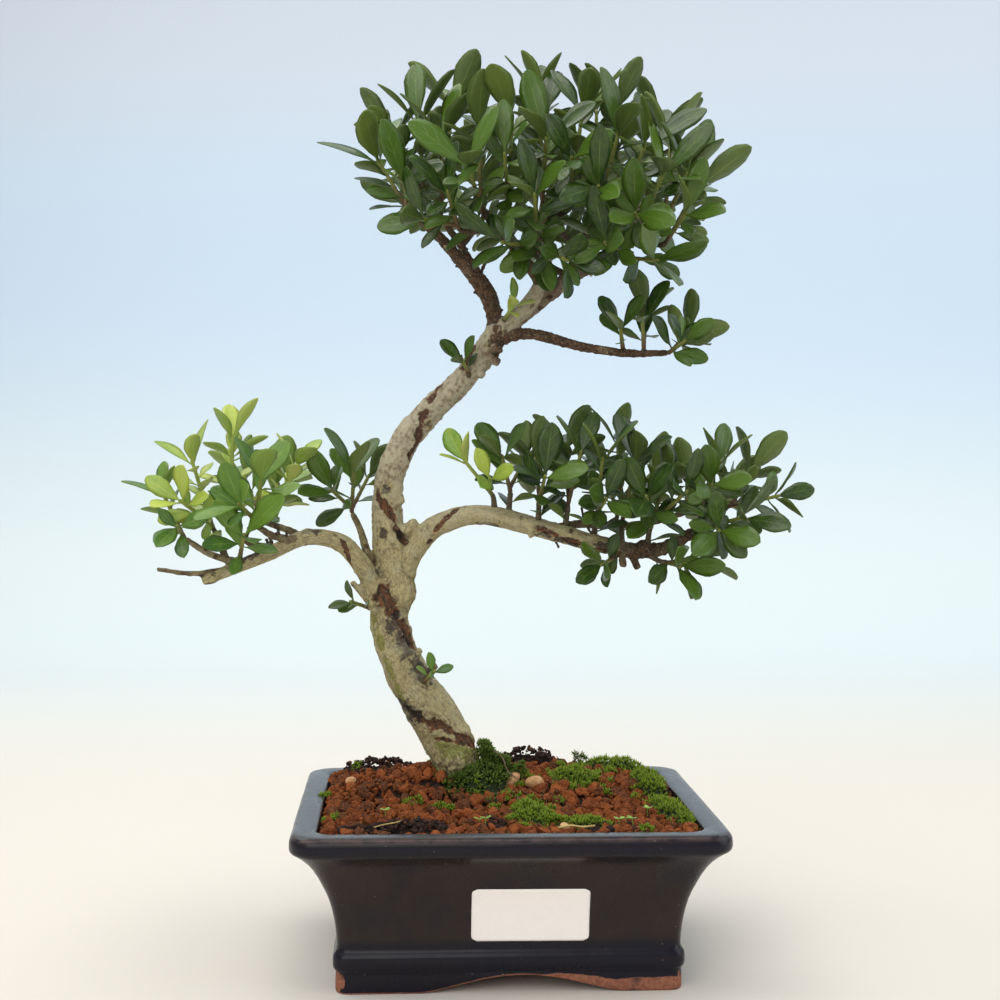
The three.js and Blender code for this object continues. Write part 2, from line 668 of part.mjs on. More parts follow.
// The shoots of a spray: the first starts just off the twig, and the others fork from it a little
// further on. Each has rings of corners along it, two of them close together at every whorl.
function shootsOf(name, spray, firstNumber) {
  const ahead = sprayDirection(spray);
  const foot = vector(spray[0]).addScaledVector(ahead, GAP);
  const leader = vector(spray[1]).sub(foot).normalize();
  return spray.slice(1).map((tip, i) => {
    const start = foot.clone().addScaledVector(leader, i === 0 ? 0 : SHOOT.fork);
    const end = vector(tip);
    const length = start.distanceTo(end);
    const curve = new THREE.LineCurve3(start, end);
    const whorls = SECOND_WHORLS.includes(name) ? WHORLS : WHORLS.slice(0, 1);
    const bands = whorls.map(({ back }) => 1 - (back + BAND) / length).reverse();
    const shares = [0, ...bands.flatMap((t) => [t, t + BAND / length])].sort((p, q) => p - q);
    const stations = shares.map((t) => ({
      t,
      at: curve.getPoint(t),
      along: curve.getTangent(t),
      radius: mix(SHOOT.start, SHOOT.end, t) * (i === 0 ? 1 : 0.93),
    }));
    if (i === 0) stations[0].along = ahead;
    const { along } = stations.at(-1);
    const budTip = end.clone().addScaledVector(along, SHOOT.budLength);
    stations.push({ t: 1, at: budTip, along, radius: SHOOT.bud });
    const number = firstNumber + i;
    const rings = ringsAlong(stations, SHOOT_SIDES, 2 * Math.PI * draw(number, 91));
    const whorlRings = whorls.map((whorl) => {
      const t = 1 - (whorl.back + BAND) / length;
      return { ...whorl, ring: shares.indexOf(t) };
    });
    return { name, number, stations, rings, solid: loft(rings), whorls: whorlRings };
  });
}

// The side of a shoot that a leaf grows from: its middle, and the ways out of it and up the shoot.
function leafSeat(shoot, whorl, side) {
  const [lower, upper] = [shoot.rings[whorl.ring], shoot.rings[whorl.ring + 1]];
  const next = (side + 1) % SHOOT_SIDES;
  const corners = [lower[side], lower[next], upper[next], upper[side]];
  const at = corners.reduce((sum, corner) => sum.add(corner), new THREE.Vector3()).divideScalar(4);
  const along = shoot.stations[whorl.ring].along;
  const out = corners[1].clone().sub(corners[0]).cross(along).normalize();
  return { corners, at, along, out, tangent: along.clone().cross(out) };
}

// Where a leaf would lie. It opens from the shoot by its whorl's spread, turns its upper face to
// the shoot's tip and bends a little upward. Later attempts stray further and are smaller.
function leafPose(shoot, whorl, side, attempt) {
  const vary = (i) => draw(shoot.number, side + 3 * whorl.ring, attempt, i) - 0.5;
  const { corners, at, along, out, tangent } = leafSeat(shoot, whorl, side);
  const spread = whorl.spread + (0.45 + 0.04 * attempt) * vary(1);
  const sway = (0.5 + 0.05 * attempt) * vary(2);
  const axis = along
    .clone()
    .multiplyScalar(Math.cos(spread))
    .addScaledVector(out, Math.sin(spread) * Math.cos(sway))
    .addScaledVector(tangent, Math.sin(spread) * Math.sin(sway))
    .addScaledVector(UP, 0.1)
    .normalize();
  const face = along.clone().addScaledVector(axis, -along.dot(axis)).normalize();
  const roll = 0.8 * vary(3);
  const normal = face
    .clone()
    .multiplyScalar(Math.cos(roll))
    .addScaledVector(axis.clone().cross(face), Math.sin(roll));
  const scale = (LEAF_SCALES[shoot.name] ?? 1) * 0.985 ** attempt;
  const length = scale * mix(LEAF.shortest, LEAF.longest, vary(4) + 0.5);
  return {
    corners,
    at,
    axis,
    normal,
    across: normal.clone().cross(axis),
    scale,
    length,
    width: length * mix(LEAF.slimmest, LEAF.broadest, vary(5) + 0.5),
  };
}

const leafArch = (t) => LEAF.rise * t - LEAF.droop * t * t;

function onBlade(leaf, t, across, lift) {
  return leaf.at
    .clone()
    .addScaledVector(leaf.axis, leaf.length * t)
    .addScaledVector(leaf.across, leaf.width * across)
    .addScaledVector(leaf.normal, leaf.length * leafArch(t) + lift);
}

// The four corners of a blade's section at each station: lower face, then upper face.
function bladeRings(leaf) {
  const lift = LEAF.thickness / 2;
  return LEAF.stations.map(({ t, half }) => [
    onBlade(leaf, t, -half, -lift),
    onBlade(leaf, t, half, -lift),
    onBlade(leaf, t, half, lift),
    onBlade(leaf, t, -half, lift),
  ]);
}

const BLADE_OUTLINE = [{ t: 0, half: 0.06 }, ...LEAF.stations];

function halfWidthAt(t) {
  const above = Math.max(1, BLADE_OUTLINE.findIndex((station) => station.t >= t));
  const [lower, upper] = [BLADE_OUTLINE[above - 1], BLADE_OUTLINE[above]];
  return mix(lower.half, upper.half, (t - lower.t) / (upper.t - lower.t));
}

const TIP_SHARE = LEAF.stations.at(-1).t;
const SAMPLE_SHARES = [0.12, 0.25, 0.38, 0.5, 0.62, 0.74, 0.85, TIP_SHARE];
const SAMPLE_ACROSS = [-1, -0.35, 0.35, 1];

function bladeSamples(leaf) {
  return SAMPLE_SHARES.flatMap((t) =>
    SAMPLE_ACROSS.map((across) => onBlade(leaf, t, across * halfWidthAt(t), 0)),
  );
}

function nearBlade(point, leaf) {
  const offset = point.clone().sub(leaf.at);
  const along = offset.dot(leaf.axis);
  const t = THREE.MathUtils.clamp(along / leaf.length, 0, TIP_SHARE);
  const past = Math.max(0, along - TIP_SHARE * leaf.length, -along);
  const beside = Math.abs(offset.dot(leaf.across)) - halfWidthAt(t) * leaf.width;
  const above = Math.abs(offset.dot(leaf.normal) - leaf.length * leafArch(t));
  return past < EDGE_CLEARANCE && beside < EDGE_CLEARANCE && above < BLADE_CLEARANCE;
}

function toBar(point, bar) {
  return bar.line.closestPointToPoint(point, true, new THREE.Vector3()).distanceTo(point);
}

// The straight bars that stand in for a stem or branch when leaves are kept clear of it.
function barsOf(stations, shoot) {
  return stations.slice(1).map((station, i) => ({
    shoot,
    line: new THREE.Line3(stations[i].at, station.at),
    radius: Math.max(stations[i].radius, station.radius),
  }));
}

// Leaves and stems of one shoot come near each other where the leaves grow from it.
const byOwnStem = (point, leaf, other) =>
  other.shoot === leaf.shoot && point.distanceTo(leaf.at) < OWN_STEM_REACH * leaf.scale;

const crosses = (solid, other) => solid.intersect(other).getMesh().triVerts.length > 0;

function isClear(leaf, leaves, bars) {
  const touches = (one, other) =>
    one.samples.some((point) => nearBlade(point, other) && !byOwnStem(point, one, other));
  const nearLeaves = leaves.filter(
    (other) => other.middle.distanceTo(leaf.middle) < LEAF.longest + 2 * BLADE_CLEARANCE,
  );
  if (nearLeaves.some((other) => touches(leaf, other) || touches(other, leaf))) return false;
  const nearBars = bars.filter((bar) => toBar(leaf.middle, bar) < LEAF.longest);
  const touchesStem = leaf.samples.some((point) =>
    nearBars.some(
      (bar) => toBar(point, bar) < bar.radius + STEM_CLEARANCE && !byOwnStem(point, leaf, bar),
    ),
  );
  if (touchesStem) return false;
  const solid = loft([leaf.corners, ...bladeRings(leaf)]);
  if (crosses(solid, leaf.shoot.solid)) return false;
  if (nearLeaves.some((other) => crosses(solid, other.solid))) return false;
  leaf.solid = solid;
  return true;
}

// One shoot with its leaves as a single closed skin. A leaf takes the place of the side it grows
// from; its upper and lower faces are split into triangles alike.
function leafyShoot(shoot, leaves) {
  const corners = shoot.rings.flat();
  const index = [];
  const quad = (a, b, c, d) => index.push(a, b, c, a, c, d);
  const isSeat = (ring, side) =>
    leaves.some((leaf) => leaf.whorl.ring === ring && leaf.side === side);
  const last = shoot.rings.length - 1;
  const at = (ring, side) => ring * SHOOT_SIDES + (side % SHOOT_SIDES);
  for (let ring = 0; ring < last; ring += 1) {
    for (let side = 0; side < SHOOT_SIDES; side += 1) {
      if (isSeat(ring, side)) continue;
      quad(at(ring, side), at(ring, side + 1), at(ring + 1, side + 1), at(ring + 1, side));
    }
  }
  index.push(at(0, 0), at(0, 2), at(0, 1), at(last, 0), at(last, 1), at(last, 2));
  for (const { whorl, side, ...leaf } of leaves) {
    const { ring } = whorl;
    let from = [at(ring, side), at(ring, side + 1), at(ring + 1, side + 1), at(ring + 1, side)];
    for (const section of bladeRings(leaf)) {
      const to = section.map((_, i) => corners.length + i);
      corners.push(...section);
      quad(from[0], from[1], to[1], to[0]);
      quad(from[1], from[2], to[2], to[1]);
      quad(from[3], to[3], to[2], from[2]);
      quad(from[3], from[0], to[0], to[3]);
      from = to;
    }
    quad(...from);
  }
  return closedSkin(corners, index);
}

// Every spray's shoots, then their leaves, each taken at the first attempt that touches nothing.
function sprays() {
  const shoots = Object.entries(SPRAYS).flatMap(([name, spray], i) =>
    shootsOf(name, spray, SHOOT_NUMBERS * i),
  );
  const bars = [
    ...[trunkRoute, ...branchRoutes, ...twigRoutes].flatMap((stations) => barsOf(stations, null)),
    ...shoots.flatMap((shoot) => barsOf(shoot.stations, shoot)),
  ];
  const leaves = [];
  for (let side = 0; side < SHOOT_SIDES; side += 1) {
    for (const shoot of shoots) {
      for (const whorl of shoot.whorls) {
        for (let attempt = 0; attempt < LEAF_ATTEMPTS; attempt += 1) {
          const pose = leafPose(shoot, whorl, side, attempt);
          const middle = onBlade(pose, 0.5, 0, 0);
          const leaf = { ...pose, shoot, whorl, side, middle, samples: bladeSamples(pose) };
          if (!isClear(leaf, leaves, bars)) continue;
          leaves.push(leaf);
          break;
        }
      }
    }
  }
  const solids = {};
  for (const shoot of shoots) {
    const solid = leafyShoot(shoot, leaves.filter((leaf) => leaf.shoot === shoot));
    solids[shoot.name] = solids[shoot.name] ? solids[shoot.name].add(solid) : solid;
  }
  return solids;
}

// Assembly

const finish = (color, roughness) => new THREE.MeshStandardMaterial({ color, roughness, metalness: 0 });
const FINISHES = {
  glaze: finish(0x1a1b26, 0.25),
  soil: finish(0x2a1d17, 0.95),
  akadama: finish(0x8f4630, 0.95),
  moss: finish(0x4d7a1f, 0.95),
  netting: finish(0x161616, 0.6),
  bark: finish(0x8d8371, 0.85),
  leaf: finish(0x2c5a2b, 0.35),
  youngLeaf: finish(0x93b93f, 0.45),
};

// A named mesh whose own origin is at the given place.
function meshOf(name, solid, material, at = new THREE.Vector3()) {
  const { vertProperties, triVerts, numProp } = solid.getMesh();
  const positions = [];
  for (let i = 0; i < vertProperties.length; i += numProp) {
    positions.push(vertProperties[i] - at.x, vertProperties[i + 1] - at.y, vertProperties[i + 2] - at.z);
  }
  const geometry = new THREE.BufferGeometry();
  geometry.setAttribute("position", new THREE.Float32BufferAttribute(positions, 3));
  geometry.setIndex(new THREE.BufferAttribute(triVerts, 1));
  geometry.computeVertexNormals();
  const mesh = new THREE.Mesh(geometry, material);
  mesh.name = name;
  mesh.position.copy(at);
  return mesh;
}

const filledPot = new THREE.Group();
filledPot.add(meshOf("pot", pot(), FINISHES.glaze));
filledPot.add(meshOf("drain_mesh_left", drainNet(-DRAIN.x), FINISHES.netting));
filledPot.add(meshOf("drain_mesh_right", drainNet(DRAIN.x), FINISHES.netting));
for (const [name, solid] of Object.entries(groundCover(trunkHole()))) {
  filledPot.add(meshOf(name, solid, FINISHES[name.split("_")[0]]));
}

const tree = new THREE.Group();
tree.add(meshOf("trunk_and_branches", wood(), FINISHES.bark));
for (const [name, solid] of Object.entries(sprays())) {
  const material = YOUNG_SPRAYS.includes(name) ? FINISHES.youngLeaf : FINISHES.leaf;
  tree.add(meshOf(name, solid, material, vector(SPRAYS[name][0])));
}

const bonsai = new THREE.Group();
bonsai.add(filledPot, tree);
const bounds = new THREE.Box3().setFromObject(bonsai);
const centre = bounds.getCenter(new THREE.Vector3());
bonsai.position.set(-centre.x, -centre.y, -bounds.min.z);

export default bonsai;
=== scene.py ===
# %% [markdown]
# # A Japanese holly bonsai in its glazed pot
#
# This lesson dresses a measured model of a small bonsai: a curved trunk with wire scars, a round
# crown, two side pads of leaves, and a shallow rectangular pot filled with clay granules and moss.
# The plain solids fix every place and size. Each step builds one finer piece in the same place.

# %% Load the measured model
import math

import bmesh
import bpy
import numpy as np
from mathutils import Matrix, Vector, kdtree, noise


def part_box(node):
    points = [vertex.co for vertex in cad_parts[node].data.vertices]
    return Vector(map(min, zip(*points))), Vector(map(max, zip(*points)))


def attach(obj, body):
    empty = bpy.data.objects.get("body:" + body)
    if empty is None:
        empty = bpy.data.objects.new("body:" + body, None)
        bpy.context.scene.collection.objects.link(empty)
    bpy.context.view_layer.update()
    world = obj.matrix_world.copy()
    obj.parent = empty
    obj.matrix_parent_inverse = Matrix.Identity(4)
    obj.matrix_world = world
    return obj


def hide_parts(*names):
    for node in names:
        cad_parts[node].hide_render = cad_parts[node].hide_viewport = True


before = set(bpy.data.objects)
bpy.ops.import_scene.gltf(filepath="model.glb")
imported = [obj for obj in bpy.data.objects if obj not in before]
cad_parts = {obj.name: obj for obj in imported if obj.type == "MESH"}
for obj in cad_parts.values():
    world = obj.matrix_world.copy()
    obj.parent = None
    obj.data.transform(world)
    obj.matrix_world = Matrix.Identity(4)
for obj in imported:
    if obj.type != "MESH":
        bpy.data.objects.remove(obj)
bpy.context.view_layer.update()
print("loaded", len(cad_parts), "nodes")

# %% [markdown]
# ## One set of measures
#
# A tree is easiest to describe in millimetres, from a point under the middle of its pot. Blender
# works in metres, from the middle under the whole object. Two helpers turn the one into the
# other, so that every number below can be read as a real size. A third places new objects.

# %% Millimetres from the pot's middle, and metres
pot_low, pot_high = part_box("pot")
POT_MIDDLE = np.array([(pot_low.x + pot_high.x) / 2, (pot_low.y + pot_high.y) / 2, 0.0])


def metres(points):
    return np.asarray(points, float) * 0.001 + POT_MIDDLE


def millimetres(points):
    return (np.asarray(points, float) - POT_MIDDLE) * 1000


def placed(name, data):
    """A new object, placed in the scene."""
    thing = bpy.data.objects.new(name, data)
    bpy.context.scene.collection.objects.link(thing)
    return thing


print("pot middle", POT_MIDDLE.round(5), "pot size", (pot_high - pot_low)[:])

# %% [markdown]
# ## The camera
#
# The tree is seen from the front, a little above the rim, from about 70 cm away. A 56 mm lens on
# a 36 mm wide sensor gives that distance its flat, calm perspective. The camera's axes are built
# from its turn, its tilt down and its slight roll, and set as the columns of one matrix.

# %% Camera
CAMERA_PLACE = (-44.2, -685.1, 217.0)
CAMERA_TURN, CAMERA_TILT, CAMERA_ROLL = (math.radians(a) for a in (-3.51, 1.37, 0.38))
FOCAL_PIXELS, IMAGE_WIDTH, SENSOR = 1552.9, 1000, 36.0


def camera_matrix():
    right = Vector((math.cos(CAMERA_TURN), math.sin(CAMERA_TURN), 0))
    level = Vector((-math.sin(CAMERA_TURN), math.cos(CAMERA_TURN), 0))
    ahead = level * math.cos(CAMERA_TILT) - Vector((0, 0, math.sin(CAMERA_TILT)))
    up = right.cross(ahead)
    side = right * math.cos(CAMERA_ROLL) + up * math.sin(CAMERA_ROLL)
    top = up * math.cos(CAMERA_ROLL) - right * math.sin(CAMERA_ROLL)
    axes = Matrix((side, top, -ahead)).transposed().to_4x4()
    return Matrix.Translation(Vector(metres(CAMERA_PLACE))) @ axes


camera = placed("camera", bpy.data.cameras.new("camera"))
camera.data.sensor_width = SENSOR
camera.data.lens = FOCAL_PIXELS / IMAGE_WIDTH * SENSOR
camera.data.clip_start = 0.01
camera.matrix_world = camera_matrix()
bpy.context.scene.camera = camera
print("lens", round(camera.data.lens, 1), "mm")

# %% [markdown]
# ## Repeatable chance
#
# Leaves, stones and moss should look scattered, yet come out the same each time. Instead of a
# random generator, every choice is drawn from a hash of the number of the thing it is for.

# %% Drawing numbers
WORD = 0xFFFFFFFF
HASH_START, HASH_STEP, HASH_STIR, KEY_SHIFT = 2166136261, 16777619, 0x2C1B3C6D, 0x9E3779B9


def draw(*keys):
    """A number from 0 to 1, the same each time for the same keys."""
    value = HASH_START
    for key in keys:
        value ^= (key + KEY_SHIFT) & WORD
        value = (value * HASH_STEP) & WORD
        value ^= value >> 15
        value = (value * HASH_STIR) & WORD
        value ^= value >> 12
    return value / 2**32


def draws(count, *keys):
    """Many numbers from 0 to 1 for one set of keys."""
    return np.random.default_rng(int(draw(*keys) * WORD)).random(count)


print("first draw", round(draw(1, 2, 3), 4))

# %% [markdown]
# ## Meshes from arrays
#
# Thousands of leaves and stones would be slow to make as separate objects. Each one is a "chunk"
# here: its points, its faces, its finish, and three numbers per point, called its look, which the
# materials read. Many chunks then make one mesh.

# %% Chunks and pieces
def chunk(points, *faces, finish=0, look=(0.0, 0.0, 0.0)):
    points = np.asarray(points, float).reshape(-1, 3)
    look = np.broadcast_to(np.asarray(look, float), points.shape)
    finishes = [np.broadcast_to(finish, len(f)) if np.ndim(finish) == 0 else finish for f in faces]
    return {"points": points, "faces": faces, "finishes": finishes, "look": look}


def store(mesh, name, values, kind="FLOAT_VECTOR"):
    """Stores a value for each point, which the materials can read by its name."""
    field = "vector" if kind == "FLOAT_VECTOR" else "value"
    mesh.attributes.new(name, kind, "POINT").data.foreach_set(field, values.ravel())


def mesh_of(name, chunks):
    corners, sizes, finishes, start = [], [], [], 0
    for part in chunks:
        for faces, finish in zip(part["faces"], part["finishes"]):
            faces = np.asarray(faces, np.int64)
            corners.append((faces + start).ravel())
            sizes.append(np.full(len(faces), faces.shape[1]))
            finishes.append(finish)
        start += len(part["points"])
    corners, sizes, finishes = map(np.concatenate, (corners, sizes, finishes))
    mesh = bpy.data.meshes.new(name)
    mesh.vertices.add(start)
    mesh.vertices.foreach_set("co", metres(np.concatenate([c["points"] for c in chunks])).ravel())
    mesh.loops.add(len(corners))
    mesh.loops.foreach_set("vertex_index", corners.astype(np.int32))
    mesh.polygons.add(len(sizes))
    mesh.polygons.foreach_set("loop_start", (np.cumsum(sizes) - sizes).astype(np.int32))
    mesh.polygons.foreach_set("material_index", finishes.astype(np.int32))
    mesh.polygons.foreach_set("use_smooth", np.ones(len(sizes), bool))
    store(mesh, "look", np.concatenate([c["look"] for c in chunks]))
    mesh.update(calc_edges=True)
    return mesh


def triangles(mesh):
    return sum(len(face.vertices) - 2 for face in mesh.polygons)


def add_piece(name, mesh, materials, replaced=()):
    """A finished piece: it rides on the only body and may stand for plain nodes."""
    piece = placed(name, mesh)
    for material in materials:
        mesh.materials.append(material)
    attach(piece, "root")
    if replaced:
        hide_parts(*replaced)
    print(name, triangles(mesh), "triangles")
    return piece


# %% [markdown]
# Tubes make every stem: rings of points carried along a line without twisting. The routes through
# the tree's control points are smooth curves of the same kind and tightness as the solids have.

# %% Routes and tubes
def unit(ways):
    """One direction, or many, with length 1."""
    return ways / np.linalg.norm(ways, axis=-1, keepdims=True)


def turned(first, second, angle):
    """The direction that lies an angle round from the first one toward the second."""
    return first * math.cos(angle) + second * math.sin(angle)


def smooth_point(controls, share):
    """A point on the smooth curve through the controls (Catmull and Rom's spline)."""
    spans = len(controls) - 1
    place = share * spans
    i = min(int(place), spans - 1)
    w = place - i
    p1, p2 = controls[i], controls[i + 1]
    p0 = controls[i - 1] if i > 0 else 2 * p1 - p2
    p3 = controls[i + 2] if i + 2 <= spans else 2 * p2 - p1
    t1, t2 = (p2 - p0) / 2, (p3 - p1) / 2
    return (
        (2 * w**3 - 3 * w**2 + 1) * p1 + (w**3 - 2 * w**2 + w) * t1
        + (3 * w**2 - 2 * w**3) * p2 + (w**3 - w**2) * t2
    )


def direction(controls, share):
    before, after = max(0.0, share - 1e-4), min(1.0, share + 1e-4)
    return unit(smooth_point(controls, after) - smooth_point(controls, before))


def stations_along(points, count):
    """Points, directions, radii and control numbers along a route of [x, y, z, radius] rows."""
    controls = np.asarray(points, float)
    places = controls[:, :3]
    rows = []
    for share in np.linspace(0, 1, count):
        number = share * (len(controls) - 1)
        radius = np.interp(number, range(len(controls)), controls[:, 3])
        rows.append((smooth_point(places, share), direction(places, share), radius, number))
    return rows


def frames_along(stations):
    """For each station: its place, direction, and two directions across it."""
    along = stations[0][1]
    normal = np.array([0.0, 1, 0]) if abs(along[0]) > 0.8 else np.array([1.0, 0, 0])
    frames = []
    for at, along, *_ in stations:
        normal = unit(normal - along * normal.dot(along))
        frames.append((at, along, normal, np.cross(along, normal)))
    return frames


def ring_faces(rings, sides):
    ring, side = np.meshgrid(np.arange(rings - 1), np.arange(sides), indexing="ij")
    a = (ring * sides + side).ravel()
    b = (ring * sides + (side + 1) % sides).ravel()
    return np.stack([a, b, b + sides, a + sides], 1)


def closed_stack(rings, first_middle, last_middle, **more):
    """A chunk from equal rings, closed at each end by a fan of triangles round a middle point."""
    sides = len(rings[0])
    side = np.arange(sides)
    near, last, middle = (side + 1) % sides, (len(rings) - 1) * sides, len(rings) * sides
    caps = np.concatenate([
        np.stack([near, side, np.full(sides, middle)], 1),
        np.stack([last + side, last + near, np.full(sides, middle + 1)], 1),
    ])
    points = np.concatenate([*rings, [first_middle], [last_middle]])
    return chunk(points, ring_faces(len(rings), sides), caps, **more)


def tube(stations, sides, **more):
    """A closed tube from rows that start with a place, a direction and a radius."""
    angles = np.arange(sides)[:, None] / sides * 2 * math.pi
    rings = []
    for (at, _, normal, across), row in zip(frames_along(stations), stations):
        rings.append(at + row[2] * (np.cos(angles) * normal + np.sin(angles) * across))
    return closed_stack(rings, stations[0][0], stations[-1][0], **more)


print("half way along a bend", smooth_point(np.array([[0, 0, 0], [1, 0, 1], [2, 0, 0.0]]), 0.25))

# %% [markdown]
# ## Recipes for finishes
#
# Every finish is a Principled shader whose colour and bump come from procedural nodes. A few small
# helpers keep the node code short: one adds a node and sets its inputs, others build a noise, a
# smooth ramp, a blend of two colours, and a layer of one colour over another.

# %% Material helpers
class Finish:
    def __init__(self, name, roughness, **shader):
        self.material = bpy.data.materials.new(name)
        self.material.use_nodes = True
        self.nodes = self.material.node_tree.nodes
        self.links = self.material.node_tree.links
        self.shader = self.nodes["Principled BSDF"]
        self.shader.inputs["Roughness"].default_value = roughness
        for socket, value in shader.items():
            self.shader.inputs[socket.replace("_", " ")].default_value = value

    def node(self, kind, settings=None, **inputs):
        made = self.nodes.new("ShaderNode" + kind)
        for key, value in (settings or {}).items():
            setattr(made, key, value)
        for key, value in inputs.items():
            numbered = key[0] == "i" and key[1:].isdigit()
            self.feed(made.inputs[int(key[1:]) if numbered else key.replace("_", " ")], value)
        return made

    def feed(self, socket, value):
        if isinstance(value, bpy.types.NodeSocket):
            self.links.new(value, socket)
        elif isinstance(value, tuple) and len(value) == 3 and socket.type == "RGBA":
            socket.default_value = (*value, 1.0)
        else:
            socket.default_value = value

    def place(self):
        return self.node("TexCoord").outputs["Object"]

    def noise(self, scale, detail=3.0, roughness=0.55, vector=None):
        vector = vector or self.place()
        made = self.node("TexNoise", Vector=vector, Scale=scale, Detail=detail, Roughness=roughness)
        return made.outputs["Fac"]

    def cells(self, scale, vector=None):
        return self.node("TexVoronoi", Vector=vector or self.place(), Scale=scale).outputs["Distance"]

    def ramp(self, value, low, high):
        smooth = {"interpolation_type": "SMOOTHSTEP"}
        return self.node("MapRange", smooth, Value=value, From_Min=low, From_Max=high).outputs["Result"]

    def layer(self, under, over, value, low, high, most=1.0):
        """Lays one colour over another, the more so the nearer a value is to high."""
        amount = self.ramp(value, low, high)
        return self.mix(self.times(amount, most) if most < 1 else amount, under, over)

    def maths(self, operation, a, b=0.0):
        return self.node("Math", {"operation": operation}, i0=a, i1=b).outputs[0]

    def times(self, a, b):
        return self.maths("MULTIPLY", a, b)

    def plus(self, a, b):
        return self.maths("ADD", a, b)

    def mix(self, factor, a, b):
        made = self.node("Mix", {"data_type": "RGBA"})
        self.feed(made.inputs["Factor"], factor)
        self.feed(made.inputs[6], a)
        self.feed(made.inputs[7], b)
        return made.outputs[2]

    def look(self):
        """The three numbers that each point carries."""
        attribute = self.node("Attribute", {"attribute_name": "look"})
        return self.node("SeparateXYZ", i0=attribute.outputs["Vector"]).outputs

    def bump(self, height, strength, distance, onto=None):
        made = self.node("Bump", Strength=strength, Distance=distance, Height=height)
        if onto is not None:
            self.feed(made.inputs["Normal"], onto)
        return made.outputs["Normal"]

    def done(self, colour, normal=None, roughness=None):
        self.feed(self.shader.inputs["Base Color"], colour)
        if normal is not None:
            self.feed(self.shader.inputs["Normal"], normal)
        if roughness is not None:
            self.feed(self.shader.inputs["Roughness"], roughness)
        return self.material


print("material helpers ready")

# %% [markdown]
# ## The pot
#
# The pot is slip-cast stoneware: a flat rim, a swooping wall, a cove, a rounded plinth and a foot
# whose long sides are cut by a low arch. Its section could be spun as on a wheel, but it is
# rectangular, so a rounded rectangle is lofted through the section instead, and the foot's lower
# rings are lifted over the arch.

# %% Pot section
RIM_HALF = (90.0, 74.0)
RIM_CORNER, FOOT_CORNER = 11.0, 5.0
FLOOR_TOP, FOOT_HOLLOW_TOP = 12.0, 7.6
# How far the wall lies inside the rim's edge, and its height, from the hollow under the foot
# outward, up the outside, over the rim and down the inside
UNDER_FOOT = [(26.0, 7.6), (24.7, 7.5), (24.5, 7.0), (24.5, 3.5), (24.5, 0.8), (24.0, 0.1), (23.0, 0.0)]
OUTSIDE = [
    (21.0, 0.0), (19.2, 0.0), (18.6, 0.3), (18.4, 1.2), (18.4, 4.0), (18.5, 7.4), (18.5, 8.6),
    (18.1, 9.3), (17.6, 10.0), (17.3, 11.4), (17.25, 13.0), (17.3, 14.6), (17.6, 15.9),
    (18.3, 16.8), (18.8, 17.8), (18.95, 19.4), (18.85, 21.0), (18.7, 23.0), (18.3, 26.5),
    (17.8, 30.0), (16.95, 34.0), (15.9, 38.0), (14.6, 41.5), (13.0, 45.0), (11.3, 48.6),
    (9.3, 52.0), (7.1, 54.9), (4.6, 57.4), (2.5, 59.1), (1.0, 60.2), (0.3, 61.1), (0.0, 62.3),
    (0.05, 64.4), (0.25, 65.8), (0.75, 66.9), (1.6, 67.6), (2.8, 68.0),
]
INSIDE = [
    (5.0, 68.0), (7.5, 68.0), (9.5, 67.9), (10.5, 67.5), (10.95, 66.8), (11.0, 65.4), (11.2, 62.0),
    (11.5, 58.0), (15.0, 51.5), (19.0, 45.0), (24.0, 30.0), (24.8, 16.0), (25.5, 12.6), (27.0, 12.0),
]
ARCH_MIDDLE, ARCH_HALF, ARCH_PEAK, ARCH_FULLNESS = 5.0, 42.0, 7.3, 0.7
ARCH_TOP = 9.3
LONG_STEPS, SHORT_STEPS, CORNER_STEPS = 96, 60, 8


def pot_ring(inset, height):
    """One ring of the pot: a rounded rectangle whose corners sharpen as it narrows."""
    radius = np.interp(inset, (0, 20), (RIM_CORNER, FOOT_CORNER))
    half_x, half_y = RIM_HALF[0] - inset, RIM_HALF[1] - inset
    turn = np.linspace(0, math.pi / 2, CORNER_STEPS + 1)
    corners = []
    for quarter, (sign_x, sign_y) in enumerate([(1, 1), (-1, 1), (-1, -1), (1, -1)]):
        angle = turn + quarter * math.pi / 2
        middle = np.array([sign_x * (half_x - radius), sign_y * (half_y - radius)])
        corners.append(middle + radius * np.stack([np.cos(angle), np.sin(angle)], 1))
    ring = []
    for i, corner in enumerate(corners):
        steps = LONG_STEPS if i % 2 == 0 else SHORT_STEPS
        share = np.linspace(0, 1, steps + 1)[1:-1, None]
        ring += [corner, corner[-1] * (1 - share) + corners[(i + 1) % 4][0] * share]
    ring = np.concatenate(ring)
    return np.column_stack([ring, np.full(len(ring), height)])


def arch_height(x):
    share = np.clip(np.abs(x - ARCH_MIDDLE) / ARCH_HALF, 0, 1)
    return ARCH_PEAK * (np.cos(share * math.pi / 2) ** 2) ** ARCH_FULLNESS


def lift_foot(points, top):
    """Lifts what is below the top of the foot over the arch, on the two long sides."""
    x, _, z = points.T
    lift = arch_height(x) * np.clip(1 - z / top, 0, 1)
    points[:, 2] = z + lift
    return points


pot_rings = [lift_foot(pot_ring(inset, z), FOOT_HOLLOW_TOP) for inset, z in UNDER_FOOT]
pot_rings += [lift_foot(pot_ring(inset, z), ARCH_TOP) for inset, z in OUTSIDE]
pot_rings += [pot_ring(inset, z) for inset, z in INSIDE]
ring_size = len(pot_rings[0])
print(len(pot_rings), "rings of", ring_size, "points")
